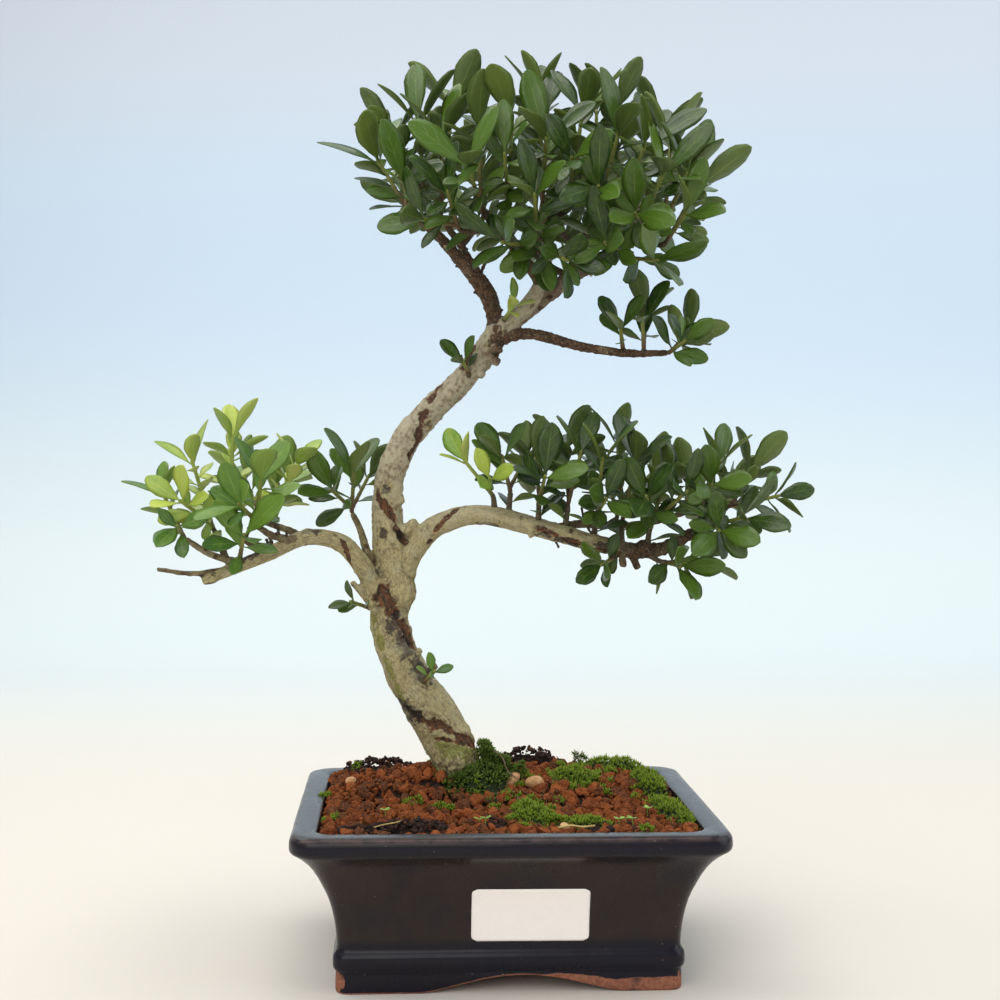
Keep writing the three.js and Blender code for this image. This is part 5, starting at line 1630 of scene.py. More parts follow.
# %% Bark finish
def make_bark():
    finish = Finish("holly_bark", 0.82, Specular_IOR_Level=0.3)
    scar, hue, pale = finish.look()
    dot = finish.node("Attribute", {"attribute_name": "dots"}).outputs["Fac"]
    grain = finish.node("Attribute", {"attribute_name": "grain"}).outputs["Vector"]
    streak, fibre = finish.noise(0.55, 5, vector=grain), finish.noise(1.6, 4, 0.65, grain)
    mottle, fine = finish.noise(130, 4), finish.noise(1100, 4)
    colour = finish.layer((0.075, 0.060, 0.050), (0.50, 0.43, 0.22), pale, 0.2, 0.5)
    colour = finish.layer(colour, (0.49, 0.435, 0.31), pale, 0.5, 0.85)
    colour = finish.layer(colour, (0.135, 0.105, 0.06), streak, 0.5, 0.7, 0.4)
    grime = finish.noise(560, 6, 0.65)
    colour = finish.layer(colour, (0.13, 0.102, 0.052), grime, 0.48, 0.62, 0.32)
    colour = finish.layer(colour, (0.60, 0.57, 0.41), mottle, 0.48, 0.7, 0.5)
    drift = finish.times(finish.maths("SUBTRACT", mottle, 0.5), 1.6)
    green = finish.ramp(finish.plus(hue, drift), 0.05, 0.75)
    colour = finish.mix(finish.times(green, 0.85), colour, (0.25, 0.255, 0.055))
    red = finish.times(hue, -1.0)
    brown = finish.layer((0.135, 0.076, 0.043), (0.048, 0.028, 0.018), grime, 0.42, 0.6)
    colour = finish.layer(colour, brown, red, 0.05, 0.75)
    colour = finish.mix(finish.times(dot, 0.65), colour, (0.16, 0.085, 0.045))
    raw = finish.layer((0.026, 0.011, 0.008), (0.16, 0.048, 0.021), fibre, 0.4, 0.58)
    raw = finish.layer(raw, (0.32, 0.105, 0.036), streak, 0.54, 0.68)
    raw = finish.layer(raw, (0.06, 0.022, 0.015), pale, 0.58, 0.85, 0.6)
    raw = finish.layer(raw, (0.022, 0.012, 0.010), pale, 0.42, 0.15)
    colour = finish.layer(colour, raw, scar, 0.1, 0.6, 0.94)
    cut_end = finish.times(scar, -1.0)
    colour = finish.layer(colour, (0.50, 0.37, 0.22), cut_end, 0.3, 0.75)
    hairline = finish.ramp(finish.maths("ABSOLUTE", finish.maths("SUBTRACT", fibre, 0.5)), 0.04, 0.0)
    hairline = finish.times(hairline, finish.plus(finish.ramp(pale, 0.75, 0.5), 0.15))
    colour = finish.mix(finish.times(hairline, 0.75), colour, (0.075, 0.058, 0.035))
    colour = finish.layer(colour, (0.62, 0.58, 0.44), fine, 0.58, 0.7, 0.35)
    lift = finish.plus(finish.times(fibre, 0.6), finish.times(grime, 0.9))
    return finish.done(colour, finish.bump(lift, 0.95, 0.0012))


holly_bark = make_bark()

# %% [markdown]
# Thin twigs carry the leafy shoots. Each leaves the wood at the nearest point behind its spray and
# curves round to point along it.

# %% Sprays and twigs
SPRAYS = {
    "crown_01": [(-43, -13, 325), (-56, -18, 345), (-50, -4, 360), (-45, -28, 334)],
    "crown_02": [(-36, -2, 330), (-39, -6, 364), (-49, 14, 364)],
    "crown_03": [(-29, -8, 329), (-29, -16, 356), (-24, 6, 374)],
    "crown_04": [(-22, -25, 316), (-27, -42, 328), (-37, -36, 318)],
    "crown_05": [(-12, -30, 322), (-19, -48, 338), (-14, -28, 356)],
    "crown_06": [(-1, -23, 326), (0, -32, 361), (-4, -46, 343)],
    "crown_07": [(12, -22, 308), (8, -50, 326), (-4, -42, 308), (22, -44, 301)],
    "crown_08": [(15, -8, 329), (17, -8, 371), (14, -33, 352)],
    "crown_09": [(28, -8, 331), (31, -16, 368), (24, -42, 343)],
    "crown_10": [(38, -15, 327), (44, -37, 354), (34, -52, 330)],
    "crown_11": [(48, -11, 325), (57, -24, 352), (48, -1, 373)],
    "crown_12": [(56, -19, 319), (63, -38, 338), (50, -48, 320)],
    "crown_13": [(67, -13, 321), (75, -24, 340), (72, -1, 357)],
    "crown_14": [(68, -18, 313), (73, -35, 322), (82, -9, 337)],
    "crown_15": [(51, -16, 306), (61, -32, 303), (38, -46, 308)],
    "crown_16": [(-28, 18, 327), (-36, 34, 353), (-42, 36, 336)],
    "crown_17": [(-9, 21, 331), (-12, 20, 373), (-8, 47, 358)],
    "crown_18": [(18, 19, 332), (15, 14, 379), (14, 50, 364)],
    "crown_19": [(42, 25, 333), (42, 22, 376), (44, 54, 360)],
    "crown_20": [(59, 22, 327), (69, 22, 363), (71, 46, 347)],
    "crown_21": [(14, 38, 317), (-12, 60, 332), (20, 66, 338), (50, 62, 332)],
    "right_01": [(-6, -7, 203), (-18, -18, 217), (-8, -24, 210)],
    "right_02": [(2, -6, 204), (-2, -14, 219), (8, 3, 217)],
    "right_03": [(14, -13, 200), (15, -29, 211), (13, -5, 218)],
    "right_04": [(27, -10, 199), (31, -22, 221), (27, 5, 223)],
    "right_05": [(39, -15, 194), (40, -25, 218), (40, -38, 202)],
    "right_06": [(51, -10, 192), (55, -20, 217), (50, 1, 226)],
    "right_07": [(63, -14, 190), (57, -39, 203), (70, -14, 212), (74, -36, 205)],
    "right_08": [(87, -1, 198), (94, -6, 217), (87, -26, 208)],
    "right_09": [(100, 3, 198), (119, -10, 203), (112, 10, 214)],
    "right_10": [(91, -6, 190), (101, -23, 194), (89, -33, 189)],
    "right_11": [(70, -12, 174), (74, -24, 173), (84, -6, 176)],
    "right_12": [(52, 14, 193), (49, 27, 210), (70, 29, 213)],
    "right_13": [(84, 17, 195), (87, 32, 210), (105, 27, 206)],
    "right_14": [(46, -16, 176), (40, -28, 174)],
    "left_01": [(-119, -9, 192), (-118, -13, 227)],
    "left_02": [(-126, -14, 188), (-134, -20, 216), (-137, -32, 200)],
    "left_03": [(-137, -21, 184), (-146, -22, 203), (-138, -36, 190)],
    "left_04": [(-107, -24, 190), (-104, -34, 209), (-112, -40, 199)],
    "left_05": [(-101, 4, 193), (-92, 0, 215)],
    "left_06": [(-107, 10, 190), (-116, 20, 209), (-102, 27, 206)],
    "left_07": [(-114, -19, 177), (-111, -34, 186)],
    "riser_01": [(-68, 20, 194), (-67, 11, 212), (-76, 4, 204), (-61, 26, 210)],
    "upper_01": [(50, -14, 267), (48, -20, 275)],
    "upper_02": [(59, -15, 267), (57, -23, 278), (61, -8, 284)],
    "upper_03": [(69, -18, 265), (74, -28, 269), (79, -12, 274)],
    "sprout_01": [(-16.5, 0, 256.5), (-19, -4, 261)],
    "sprout_02": [(-1, -1, 280), (3, -8, 286)],
    "sprout_03": [(-60, 9, 152), (-67, 3, 155)],
    "sprout_04": [(-35, 8, 119), (-31, 2, 124)],
}
TWIG_START, TWIG_END, TWIG_REACH = 1.6, 1.1, 11.0
NODE_PITCH, NODE_SWELL = 7.5, 0.22
branch_controls = {name: np.array(points, float)[:, :3] for name, points in BRANCHES.items()}


def spray_direction(spray):
    """On from the branch that ends at the spray's foot, or else toward the shoots' tips."""
    base = np.array(spray[0], float)
    for controls in branch_controls.values():
        if np.linalg.norm(controls[-1] - base) < 1:
            return direction(controls, 1.0), True
    return unit(np.mean(spray[1:], axis=0) - base), False


def twig_stations(spray):
    ahead, carried = spray_direction(spray)
    if carried:
        return None
    base = np.array(spray[0], float)
    target = base - ahead * TWIG_REACH
    start = line_rows[np.linalg.norm(line_rows[:, :3] - target, axis=1).argmin(), :3]
    reach = np.linalg.norm(base - start)
    first, second = start + (base - start) * 0.35, base - ahead * 0.35 * reach
    rows = []
    for w in np.linspace(0, 1, 15):
        v = 1 - w
        at = v**3 * start + 3 * v**2 * w * first + 3 * v * w**2 * second + w**3 * base
        way = v**2 * (first - start) + 2 * v * w * (second - first) + w**2 * (base - second)
        radius = TWIG_START + (TWIG_END - TWIG_START) * w
        radius += NODE_SWELL * math.exp(-(((w * reach) % NODE_PITCH - 3.5) ** 2) / 0.8) - 0.08
        rows.append((at, unit(way), radius))
    return rows


twig_chunks = []
for name, spray in SPRAYS.items():
    rows = twig_stations(spray)
    if rows:
        hue, pale = (-0.75, 0.35) if name.startswith("crown") else (-0.36, 0.42)
        twig_chunks.append(tube(rows, 10, look=(0.0, hue, pale)))


SPUR_COUNT, THIN_FROM = 80, 3.5
THIN_LIMBS = ("crown", "left_front", "left_up", "right_back")
SPUR_SHAPE = [(0, 1.2), (0.3, 0.9), (0.5, 1.25), (0.65, 0.9), (0.95, 1.15), (1, 0.7)]


def spur(number):
    """A short dead side twig on a thin limb, with a knot half way."""
    r = draws(8, 801, number)
    row = limb_rows[int(r[0] * len(limb_rows))]
    at, along, radius = row[:3], row[3:6], row[6]
    across = unit(np.cross(along, (0.3, 0.5, 0.8)))
    out = turned(across, np.cross(along, across), 6.28 * r[1])
    way = unit(out + along * (0.9 * r[2]) + (0, 0, 0.4))
    foot, length, width = at + way * radius * 0.7, 2.5 + 5.5 * r[3] ** 2, 0.5 + 0.3 * r[4]
    rows = [(foot + way * length * share, way, width * swelling) for share, swelling in SPUR_SHAPE]
    return tube(rows, 7, look=(0.0, -0.8, 0.35))


def on_thin_limb(row):
    name = line_names[int(row[8])]
    return name.startswith(THIN_LIMBS) or (name == "right" and row[7] > THIN_FROM)


limb_rows = np.array([row for row in line_rows if on_thin_limb(row)])
twig_chunks += [spur(number) for number in range(SPUR_COUNT)]
add_piece("twigs", mesh_of("twigs", twig_chunks), [holly_bark], ["trunk_and_branches"])
add_piece("bonsai_wood", wood_mesh, [holly_bark], ["trunk_and_branches"])

# %% [markdown]
# ## Shoots and leaves
#
# Japanese holly has small, stiff, glossy leaves, widest past the middle, with a finely notched
# edge, a pale midrib, and a duller, lighter underside. Their places are fixed by the plain solids:
# every leaf there grew from one side of a shoot, in the first of up to 24 poses that touched
# nothing. The same poses are worked out here, and the one whose corners are found in the solid is
# the one that was used.

# %% Shoots
SECOND_WHORLS = ["left_01", "left_05", "upper_03"]
YOUNG_SPRAYS = ["right_01", "left_01", "left_02", "left_05", "sprout_02"]
LEAF_SCALES = {
    "right_01": 0.75, "right_14": 0.75, "left_01": 0.85, "left_02": 0.85, "left_03": 0.85,
    "left_05": 0.8, "upper_01": 0.75, "upper_02": 0.85, "upper_03": 0.85,
    "sprout_01": 0.65, "sprout_02": 0.5, "sprout_03": 0.5, "sprout_04": 0.42,
}
WHORL_BACK, WHORL_SPREAD = (0.5, 8.0), (0.62, 0.95)
BAND = 0.8
SHOOT_START, SHOOT_END, SHOOT_FORK, SHOOT_FORKED = 1.05, 0.85, 1.8, 0.93


def shoots_of(index, name, spray):
    ahead, _ = spray_direction(spray)
    foot = np.array(spray[0], float) + ahead * 0.3
    leader = unit(np.array(spray[1]) - foot)
    shoots = []
    for i, tip in enumerate(spray[1:]):
        start, end = foot + leader * (SHOOT_FORK if i else 0), np.array(tip, float)
        length = np.linalg.norm(end - start)
        along = (end - start) / length
        whorls = WHORL_BACK if name in SECOND_WHORLS else WHORL_BACK[:1]
        low_ends = [1 - (back + BAND) / length for back in whorls]
        shares = sorted([0.0, *low_ends, *(low + BAND / length for low in low_ends)])
        thin = SHOOT_FORKED if i else 1
        rows = []
        for share in shares:
            radius = (SHOOT_START + (SHOOT_END - SHOOT_START) * share) * thin
            rows.append([start + (end - start) * share, along, radius])
        if i == 0:
            rows[0][1] = ahead
        number = 10 * index + i
        turn = 2 * math.pi * draw(number, 91)
        rings = []
        for at, _, normal, across in frames_along(rows):
            radius = rows[len(rings)][2]
            angles = np.arange(3) / 3 * 2 * math.pi + turn
            rings.append([at + radius * turned(normal, across, angle) for angle in angles])
        seats = [(shares.index(low), spread) for low, spread in zip(low_ends, WHORL_SPREAD)]
        shoots.append({
            "name": name, "number": number, "start": start, "end": end, "along": along,
            "length": length, "rings": rings, "rows": rows, "seats": seats,
        })
    return shoots


shoots = [shoot for i, (name, spray) in enumerate(SPRAYS.items()) for shoot in shoots_of(i, name, spray)]
print(len(shoots), "shoots")

# %% Leaf poses
UP = np.array([0.0, 0, 1])
LEAF_STATIONS = ((0.3, 0.36), (0.65, 0.5), (0.95, 0.21))
LEAF_CORNERS = [(t, a * half, b * 0.35) for t, half in LEAF_STATIONS for a in (-1, 1) for b in (-1, 1)]
POSES, CORNER_SLACK, ENOUGH_CORNERS = 24, 0.06, 11


def leaf_of(shoot, at, axis, along, roll, length, plumpness, out):
    """A leaf's own frame: along its axis, across its blade and out of its upper face."""
    face = unit(along - axis * along.dot(axis))
    normal = turned(face, np.cross(axis, face), roll)
    return {
        "at": at, "axis": axis, "normal": normal, "across": np.cross(normal, axis), "out": out,
        "length": length, "width": length * (0.44 + 0.08 * plumpness), "shoot": shoot,
    }


def leaf_pose(shoot, ring, whorl_spread, side, attempt):
    vary = lambda i: draw(shoot["number"], side + 3 * ring, attempt, i) - 0.5
    lower, upper = shoot["rings"][ring], shoot["rings"][ring + 1]
    near = (side + 1) % 3
    at = (lower[side] + lower[near] + upper[near] + upper[side]) / 4
    along = shoot["rows"][ring][1]
    out = unit(np.cross(lower[near] - lower[side], along))
    tangent = np.cross(along, out)
    spread = whorl_spread + (0.45 + 0.04 * attempt) * vary(1)
    sway = (0.5 + 0.05 * attempt) * vary(2)
    axis = unit(turned(along, turned(out, tangent, sway), spread) + UP * 0.1)
    scale = LEAF_SCALES.get(shoot["name"], 1.0) * 0.985**attempt
    length = scale * (19 + 6 * (vary(4) + 0.5))
    return leaf_of(shoot, at, axis, along, 0.8 * vary(3), length, vary(5) + 0.5, out)


def on_blade(leaf, t, across, lift=0.0):
    arch = leaf["length"] * (0.1 * t - 0.17 * t * t) + lift
    on_midrib = leaf["at"] + leaf["axis"] * leaf["length"] * t
    return on_midrib + leaf["across"] * leaf["width"] * across + leaf["normal"] * arch


def corner_finder(name):
    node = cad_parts[name]
    corners = np.array([(node.matrix_world @ corner.co)[:] for corner in node.data.vertices])
    tree = kdtree.KDTree(len(corners))
    for i, corner in enumerate(millimetres(corners)):
        tree.insert(corner, i)
    tree.balance()
    return tree


def grown_leaf(finder, shoot, ring, spread, side):
    """The leaf of one seat, in the pose whose corners are found in the solid."""
    for attempt in range(POSES):
        leaf = leaf_pose(shoot, ring, spread, side, attempt)
        gaps = [finder.find(Vector(on_blade(leaf, *corner)))[2] for corner in LEAF_CORNERS]
        if sum(gap < CORNER_SLACK for gap in gaps) >= ENOUGH_CORNERS:
            return {**leaf, "number": shoot["number"] * 100 + ring * 10 + side}
    return None


finders = {name: corner_finder(name) for name in SPRAYS}
seats = []
for shoot in shoots:
    for ring, spread in shoot["seats"]:
        seats += [grown_leaf(finders[shoot["name"]], shoot, ring, spread, side) for side in range(3)]
leaves = [leaf for leaf in seats if leaf]
print(len(leaves), "leaves found,", len(seats) - len(leaves), "seats bare")

# %% [markdown]
# A shoot carries more leaves than the plain solids can show. Further ones are added below each
# whorl, smaller and turned by the golden angle as leaves really are. Each is kept only if its
# blade stays clear of all others, tested at a few points of every blade.

# %% Further leaves
SAMPLE_WIDTHS = ((0.2, 0.24), (0.45, 0.44), (0.7, 0.48), (0.92, 0.22))
SAMPLES = [(t, a * width) for t, width in SAMPLE_WIDTHS for a in (-1, 0, 1)]
GOLDEN = math.radians(137.5)
FIRST_BACK, STEP_BACK, FREE_FOOT = 4.2, 2.9, 1.5
LEAF_GAP, STRETCHED_GAP, WOOD_GAP, NEIGHBOURHOOD = 2.0, 2.2, 1.6, 45.0
STRETCHES = (1.28, 1.2, 1.12, 1.05)
ROOM = (0.152, 0.082, 0.398)
OPEN_SPRAY = "right_01"


def blade_samples(leaf):
    return np.array([on_blade(leaf, t, across) for t, across in SAMPLES])


def further_leaf(shoot, back, turn, scale, number):
    r = draws(8, 201, number)
    along = shoot["along"]
    first = unit(np.cross(along, (0.31, 0.87, 0.39)))
    out = turned(first, np.cross(along, first), turn)
    axis = unit(turned(along, out, 0.85 + 0.5 * r[0]) + UP * 0.12)
    at, length = shoot["end"] - along * back + out * 0.7, scale * (13 + 7 * r[2])
    leaf = leaf_of(shoot, at, axis, along, 0.7 * (r[1] - 0.5), length, r[3], out)
    return {**leaf, "number": number}


def twig_lines():
    """The upper part of each twig, as one more shoot for leaves to grow from."""
    twigs = []
    for i, (name, spray) in enumerate(SPRAYS.items()):
        rows = twig_stations(spray)
        if rows and name.startswith(("right", "crown", "left")):
            start, end = rows[3][0], rows[-1][0]
            length = np.linalg.norm(end - start)
            along = (end - start) / length
            twigs.append({"name": name, "number": 5000 + i, "end": end, "along": along, "length": length})
    return twigs


def add_further(leaves):
    taken = np.concatenate([blade_samples(leaf) for leaf in leaves])
    wood, wood_reach = line_rows[:, None, :3], line_rows[:, None, 6] + WOOD_GAP
    added = []
    for shoot in [line for line in shoots + twig_lines() if line["name"] != OPEN_SPRAY]:
        scale = LEAF_SCALES.get(shoot["name"], 1.0)
        turn = 2 * math.pi * draw(shoot["number"], 301)
        for k, back in enumerate(np.arange(FIRST_BACK, shoot["length"] - FREE_FOOT, STEP_BACK)):
            for attempt in range(5):
                number = shoot["number"] * 1000 + k * 10 + attempt
                way = turn + k * GOLDEN + 0.5 * (attempt % 3 - 1)
                leaf = further_leaf(shoot, back, way, scale * 0.93**attempt, number)
                points = blade_samples(leaf)
                blade = points[None, 3:]
                if np.linalg.norm(taken[:, None] - blade, axis=2).min() < LEAF_GAP or not fits(points):
                    continue
                if (np.linalg.norm(wood - blade, axis=2) < wood_reach).any():
                    continue
                added.append(leaf)
                taken = np.concatenate([taken, points])
                break
    return added


def fits(points):
    return bool((np.abs(metres(points)) < ROOM).all())


def stretch_crown(leaves):
    """The crown's own leaves are the longest, so each grows as far as its neighbours allow."""
    samples = [blade_samples(leaf) for leaf in leaves]
    for k, leaf in enumerate(leaves):
        if not leaf["shoot"]["name"].startswith("crown") or leaf["axis"][2] < 0.3:
            continue
        gaps = [np.linalg.norm(other[5] - samples[k][5]) for other in samples]
        others = np.concatenate([other for other, gap in zip(samples, gaps) if 0 < gap < NEIGHBOURHOOD])
        for stretch in STRETCHES:
            longer = {**leaf, "length": leaf["length"] * stretch}
            points = blade_samples(longer)
            gaps_left = np.linalg.norm(others[:, None] - points[None, 3:], axis=2)
            if fits(points) and gaps_left.min() > STRETCHED_GAP:
                leaf.update(longer)
                samples[k] = points
                break


stretch_crown(leaves)
further = add_further(leaves)
print(len(further), "further leaves")

# %% [markdown]
# A blade is a thin closed shell: a grid of points for the upper face and one for the lower, joined
# at the margin. It is cupped along the midrib, its edge is notched with small teeth, and it is
# thickest along the middle. A pale midrib and margin are left to the finish, which reads how far
# along and how far across each point is.

# %% Blades
BLADE_COLUMNS = np.array([-1.0, -0.55, 0.0, 0.55, 1.0])
BLADE_T = np.array([0.0, 0.045, 0.1, *np.linspace(0.17, 0.93, 9), 0.965, 0.988, 1.0])
OUTLINE_T = (0, 0.045, 0.1, 0.17, 0.3, 0.42, 0.55, 0.65, 0.76, 0.86, 0.93, 0.965, 0.988, 1.0)
OUTLINE_W = (0.032, 0.032, 0.055, 0.12, 0.275, 0.39, 0.465, 0.48, 0.455, 0.365, 0.25, 0.175, 0.098, 0.012)


def blade_faces():
    count = len(BLADE_COLUMNS)
    rows = len(BLADE_T)
    upper = np.arange(rows * count).reshape(rows, count)
    lower = np.full((rows, count), -1)
    lower[:, 0], lower[:, -1] = upper[:, 0], upper[:, -1]
    lower[:, 1:-1] = rows * count + np.arange(rows * (count - 2)).reshape(rows, count - 2)
    quads = lambda g: np.stack([g[:-1, :-1], g[:-1, 1:], g[1:, 1:], g[1:, :-1]], -1).reshape(-1, 4)
    caps = []
    for i, order in ((0, 1), (rows - 1, -1)):
        u, l = upper[i], lower[i]
        cap = [
            (u[0], l[1], u[1]), (u[1], l[1], l[2]), (u[1], l[2], u[2]),
            (u[2], l[2], l[3]), (u[2], l[3], u[3]), (u[3], l[3], u[4]),
        ]
        caps += [corners[::order] for corners in cap]
    return quads(upper), quads(lower)[:, ::-1], np.array(caps)


UPPER_FACES, LOWER_FACES, END_FACES = blade_faces()


def blade_chunk(leaf):
    r = draws(12, 77, leaf["number"])
    t = BLADE_T[:, None]
    columns = BLADE_COLUMNS[None, :]
    half = np.interp(BLADE_T, OUTLINE_T, OUTLINE_W)[:, None]
    teeth = 0.014 * np.sin(BLADE_T * 46 + 6 * r[0])[:, None] * ((t > 0.2) & (t < 0.97))
    side = columns * (half + np.abs(columns) * teeth)
    cup = (0.06 + 0.10 * r[1]) * (columns**2 - 0.35)
    wave = 0.05 * np.sin(5 * t + 6 * r[2]) * columns
    arch = leaf["length"] * (0.1 * t - 0.17 * t * t)
    arch = arch + (cup + wave) * leaf["width"] * np.clip(half * 2, 0, 1)
    thick = np.where(np.abs(columns) > 0.9, 0.0, 0.24) * np.ones_like(t)
    thick[:, 2] = 0.27
    middle = (leaf["at"] + leaf["axis"] * (leaf["length"] * t)[..., None]).reshape(len(BLADE_T), 1, 3)
    middle = middle - leaf["out"] * 0.5 * np.clip(1 - t / 0.1, 0, 1)[..., None]
    flat = middle + leaf["across"] * (leaf["width"] * side)[..., None]
    upper = flat + leaf["normal"] * (arch + thick - np.array([0, 0, 0.12, 0, 0]) * (t > 0.1))[..., None]
    lower = flat + leaf["normal"] * (arch - thick - np.array([0, 0, 0.10, 0, 0]))[..., None]
    points = np.concatenate([upper.reshape(-1, 3), lower[:, 1:-1].reshape(-1, 3)])
    along = np.broadcast_to(t, upper.shape[:2])
    across = np.broadcast_to(columns, upper.shape[:2])
    look = np.stack([along, across, np.full(along.shape, r[3])], -1)
    look = np.concatenate([look.reshape(-1, 3), look[:, 1:-1].reshape(-1, 3)])
    part = chunk(points, UPPER_FACES, LOWER_FACES, END_FACES, look=look)
    part["finishes"] = [np.zeros(len(UPPER_FACES)), np.ones(len(LOWER_FACES)), np.ones(len(END_FACES))]
    return part


BUD = ((0.35, 0.72), (0.8, 0.82), (1.4, 0.7), (1.9, 0.4), (2.2, 0.12))


def shoot_chunk(shoot):
    """A shoot with a slight swelling below every leaf, and a pointed bud at its tip."""
    rows = []
    start, end, along, length = shoot["start"], shoot["end"], shoot["along"], shoot["length"]
    for share in np.linspace(0, 1, max(6, int(length / 1.2))):
        radius = (1 - 0.22 * share) * (1 + 0.09 * math.sin(share * length * 1.75))
        rows.append((start + (end - start) * share, along, radius, share))
    rows += [(end + along * extra, along, radius, 1) for extra, radius in BUD]
    part = tube(rows, 8)
    steps = np.array([*np.repeat([row[3] for row in rows], 8), 0, 1])
    part["look"] = np.outer(steps, (1, 0, 0)) + (0, 0, draw(shoot["number"], 5))
    part["finishes"] = [np.full(len(faces), 2) for faces in part["faces"]]
    return part


# %% [markdown]
# The upper face is dark green and glossy, and light grazing it turns blue-white. The underside is
# a paler, duller olive. Young leaves are a fresh yellow green all over and thin enough for light to
# glow through.

# %% Leaf finishes
def make_leaf(name, deep, fresh, rib, margin, gloss, glow):
    finish = Finish(
        name, gloss, Specular_IOR_Level=0.46, Subsurface_Weight=glow,
        Subsurface_Radius=(0.0004, 0.0008, 0.0001),
    )
    along, across, tint = finish.look()
    cloud = finish.noise(210, 3)
    colour = finish.layer(deep, fresh, tint, 0.15, 1.0)
    colour = finish.layer(colour, margin, tint, 0.9, 0.95, 0.45)
    colour = finish.layer(colour, fresh, cloud, 0.35, 0.75, 0.4)
    off_middle = finish.maths("ABSOLUTE", across)
    vein = finish.plus(finish.times(along, 30.0), finish.times(off_middle, -9.0))
    ribs = finish.ramp(finish.maths("SINE", vein), 0.86, 1.0)
    colour = finish.mix(finish.times(ribs, 0.12), colour, rib)
    midrib = finish.times(finish.ramp(off_middle, 0.07, 0.015), finish.ramp(along, 1.0, 0.6))
    colour = finish.mix(finish.times(midrib, 0.5), colour, rib)
    colour = finish.layer(colour, margin, off_middle, 0.93, 1.0, 0.4)
    colour = finish.layer(colour, rib, along, 0.1, 0.02)
    grain = finish.times(finish.noise(700, 3), 0.5)
    lift = finish.plus(finish.times(ribs, -0.6), grain)
    return finish.done(colour, finish.bump(lift, 0.35, 0.0004))


def make_shoot(name, base, tip):
    finish = Finish(name, 0.6)
    along, _, _ = finish.look()
    grain = finish.noise(600, 3)
    colour = finish.layer(base, tip, along, 0.05, 0.8)
    colour = finish.mix(finish.times(grain, 0.4), colour, (0.06, 0.035, 0.02))
    return finish.done(colour, finish.bump(grain, 0.4, 0.0003))


# For each face: deep, fresh, rib and margin colour, roughness and glow. For shoots: base and tip
LEAF_KINDS = {
    "leaf": [
        [(0.0165, 0.045, 0.005), (0.073, 0.148, 0.012), (0.14, 0.22, 0.04), (0.11, 0.19, 0.025), 0.3, 0.0],
        [(0.055, 0.095, 0.018), (0.115, 0.175, 0.028), (0.18, 0.25, 0.06), (0.13, 0.20, 0.035), 0.5, 0.0],
        ["brown_shoot", (0.14, 0.075, 0.035), (0.24, 0.27, 0.055)],
    ],
    "fresh": [
        [(0.045, 0.125, 0.015), (0.16, 0.29, 0.030), (0.26, 0.36, 0.09), (0.20, 0.32, 0.05), 0.36, 0.05],
        [(0.12, 0.21, 0.040), (0.22, 0.33, 0.060), (0.30, 0.40, 0.12), (0.24, 0.34, 0.07), 0.5, 0.05],
        ["olive_shoot", (0.15, 0.10, 0.045), (0.27, 0.31, 0.060)],
    ],
    "young": [
        [(0.16, 0.30, 0.035), (0.44, 0.52, 0.075), (0.5, 0.58, 0.16), (0.42, 0.52, 0.12), 0.38, 0.12],
        [(0.24, 0.36, 0.07), (0.44, 0.52, 0.12), (0.5, 0.58, 0.2), (0.42, 0.50, 0.12), 0.5, 0.12],
        ["green_shoot", (0.19, 0.21, 0.06), (0.36, 0.46, 0.09)],
    ],
}
leafy_finishes = {}
for kind, (upper, under, stem) in LEAF_KINDS.items():
    blades = [make_leaf(f"{kind}_upper", *upper), make_leaf(f"{kind}_under", *under)]
    leafy_finishes[kind] = [*blades, make_shoot(*stem)]

# %% Leafy pieces
LEAFY_PIECES = {
    "crown_left_leaves": [f"crown_{i:02d}" for i in (1, 2, 3, 4, 5, 16)],
    "crown_middle_leaves": [f"crown_{i:02d}" for i in (6, 7, 8, 9, 17)],
    "crown_back_leaves": [f"crown_{i:02d}" for i in (18, 19, 20, 21)],
    "crown_right_leaves": [f"crown_{i:02d}" for i in (10, 11, 12, 13, 14, 15)],
    "right_pad_leaves": [f"right_{i:02d}" for i in range(2, 15)],
    "left_pad_leaves": ["left_03", "left_04", "left_06", "left_07", "sprout_04"],
    "upper_leaves": ["riser_01", "upper_01", "upper_02", "upper_03", "sprout_01", "sprout_03"],
    "young_leaves": YOUNG_SPRAYS,
}
PIECE_KINDS = {"young_leaves": "young", "left_pad_leaves": "fresh"}
for name, sprays in LEAFY_PIECES.items():
    parts = [shoot_chunk(shoot) for shoot in shoots if shoot["name"] in sprays]
    parts += [blade_chunk(leaf) for leaf in leaves + further if leaf["shoot"]["name"] in sprays]
    finishes = leafy_finishes[PIECE_KINDS.get(name, "leaf")]
    add_piece(name, mesh_of(name, parts), finishes, sprays)

# %% [markdown]
# ## Table, background and light
#
# The tree stands on a seamless pale sweep: cream in front, fading to a pale blue behind. A wide,
# low curve hides the line where a table would end. Very large soft lights give the even daylight
# of a display hall, brightest from above and in front.

# %% Sweep
CREAM, HAZE = (0.685, 0.648, 0.585), (0.725, 0.80, 0.805)
BLUE, GREY_BLUE = (0.575, 0.69, 0.81), (0.61, 0.67, 0.76)
SWEEP_DEPTH, SWEEP_BEND, SWEEP_WIDTH = 900.0, 500.0, 3000.0


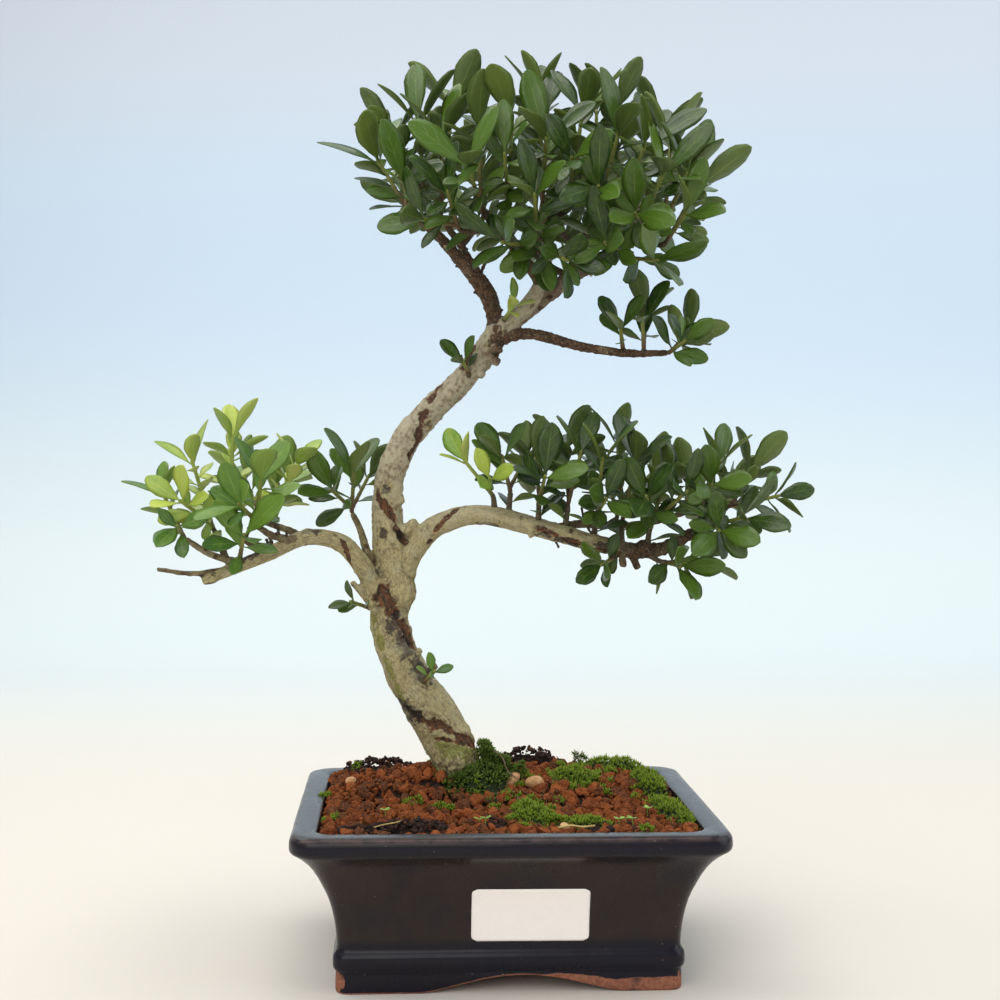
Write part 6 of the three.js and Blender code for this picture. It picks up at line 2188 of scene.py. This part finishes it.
def sweep_mesh():
    profile = [(-1600.0, 0.0), (-400.0, 0.0), (0.0, 0.0), (SWEEP_DEPTH, 0.0)]
    for angle in np.linspace(0, math.pi / 2, 24)[1:]:
        profile.append((SWEEP_DEPTH + SWEEP_BEND * math.sin(angle), SWEEP_BEND * (1 - math.cos(angle))))
    profile.append((SWEEP_DEPTH + SWEEP_BEND, 2200.0))
    count = len(profile)
    sides = [np.column_stack([np.full(count, x), profile]) for x in (-SWEEP_WIDTH, SWEEP_WIDTH)]
    a = np.arange(count - 1)
    faces = np.stack([a, a + count, a + count + 1, a + 1], 1)
    return mesh_of("sweep", [chunk(np.concatenate(sides), faces)])


def make_sweep():
    finish = Finish("pale_sweep", 0.9, Specular_IOR_Level=0.1)
    _, back, high = finish.node("SeparateXYZ", i0=finish.place()).outputs
    far = finish.plus(back, finish.times(high, 2.0))
    colour = finish.layer(CREAM, HAZE, far, 0.25, 1.1)
    colour = finish.layer(colour, BLUE, far, 1.3, 2.3)
    return finish.done(finish.layer(colour, GREY_BLUE, far, 2.4, 3.0))


sweep = placed("sweep", sweep_mesh())
sweep.data.materials.append(make_sweep())

# %% Lights
def area_light(name, place, target, size, power, colour):
    light = bpy.data.lights.new(name, "AREA")
    light.shape = "RECTANGLE"
    light.size, light.size_y = size
    light.energy = power
    light.color = colour
    lamp = placed(name, light)
    start, end = Vector(metres(place)), Vector(metres(target))
    aim = (end - start).to_track_quat("-Z", "Y").to_matrix().to_4x4()
    lamp.matrix_world = Matrix.Translation(start) @ aim


area_light("ceiling", (-250, 100, 1300), (0, 0, 150), (1.5, 1.5), 18.5, (1.0, 0.98, 0.94))
area_light("front_window", (-450, -1250, 750), (0, 0, 200), (1.2, 0.9), 8.5, (1.0, 0.98, 0.95))
area_light("right_window", (1100, -300, 600), (0, 0, 200), (0.8, 1.2), 4.5, (0.94, 0.97, 1.0))
area_light("wall_wash", (1300, 500, 1100), (900, 1400, 500), (1.0, 1.0), 5, (0.95, 0.98, 1.0))
world = bpy.data.worlds.new("hall")
world.use_nodes = True
world.node_tree.nodes["Background"].inputs["Color"].default_value = (0.96, 0.98, 1.0, 1.0)
world.node_tree.nodes["Background"].inputs["Strength"].default_value = 0.46
bpy.context.scene.world = world
bpy.context.scene.view_settings.view_transform = "Standard"
print("lit")
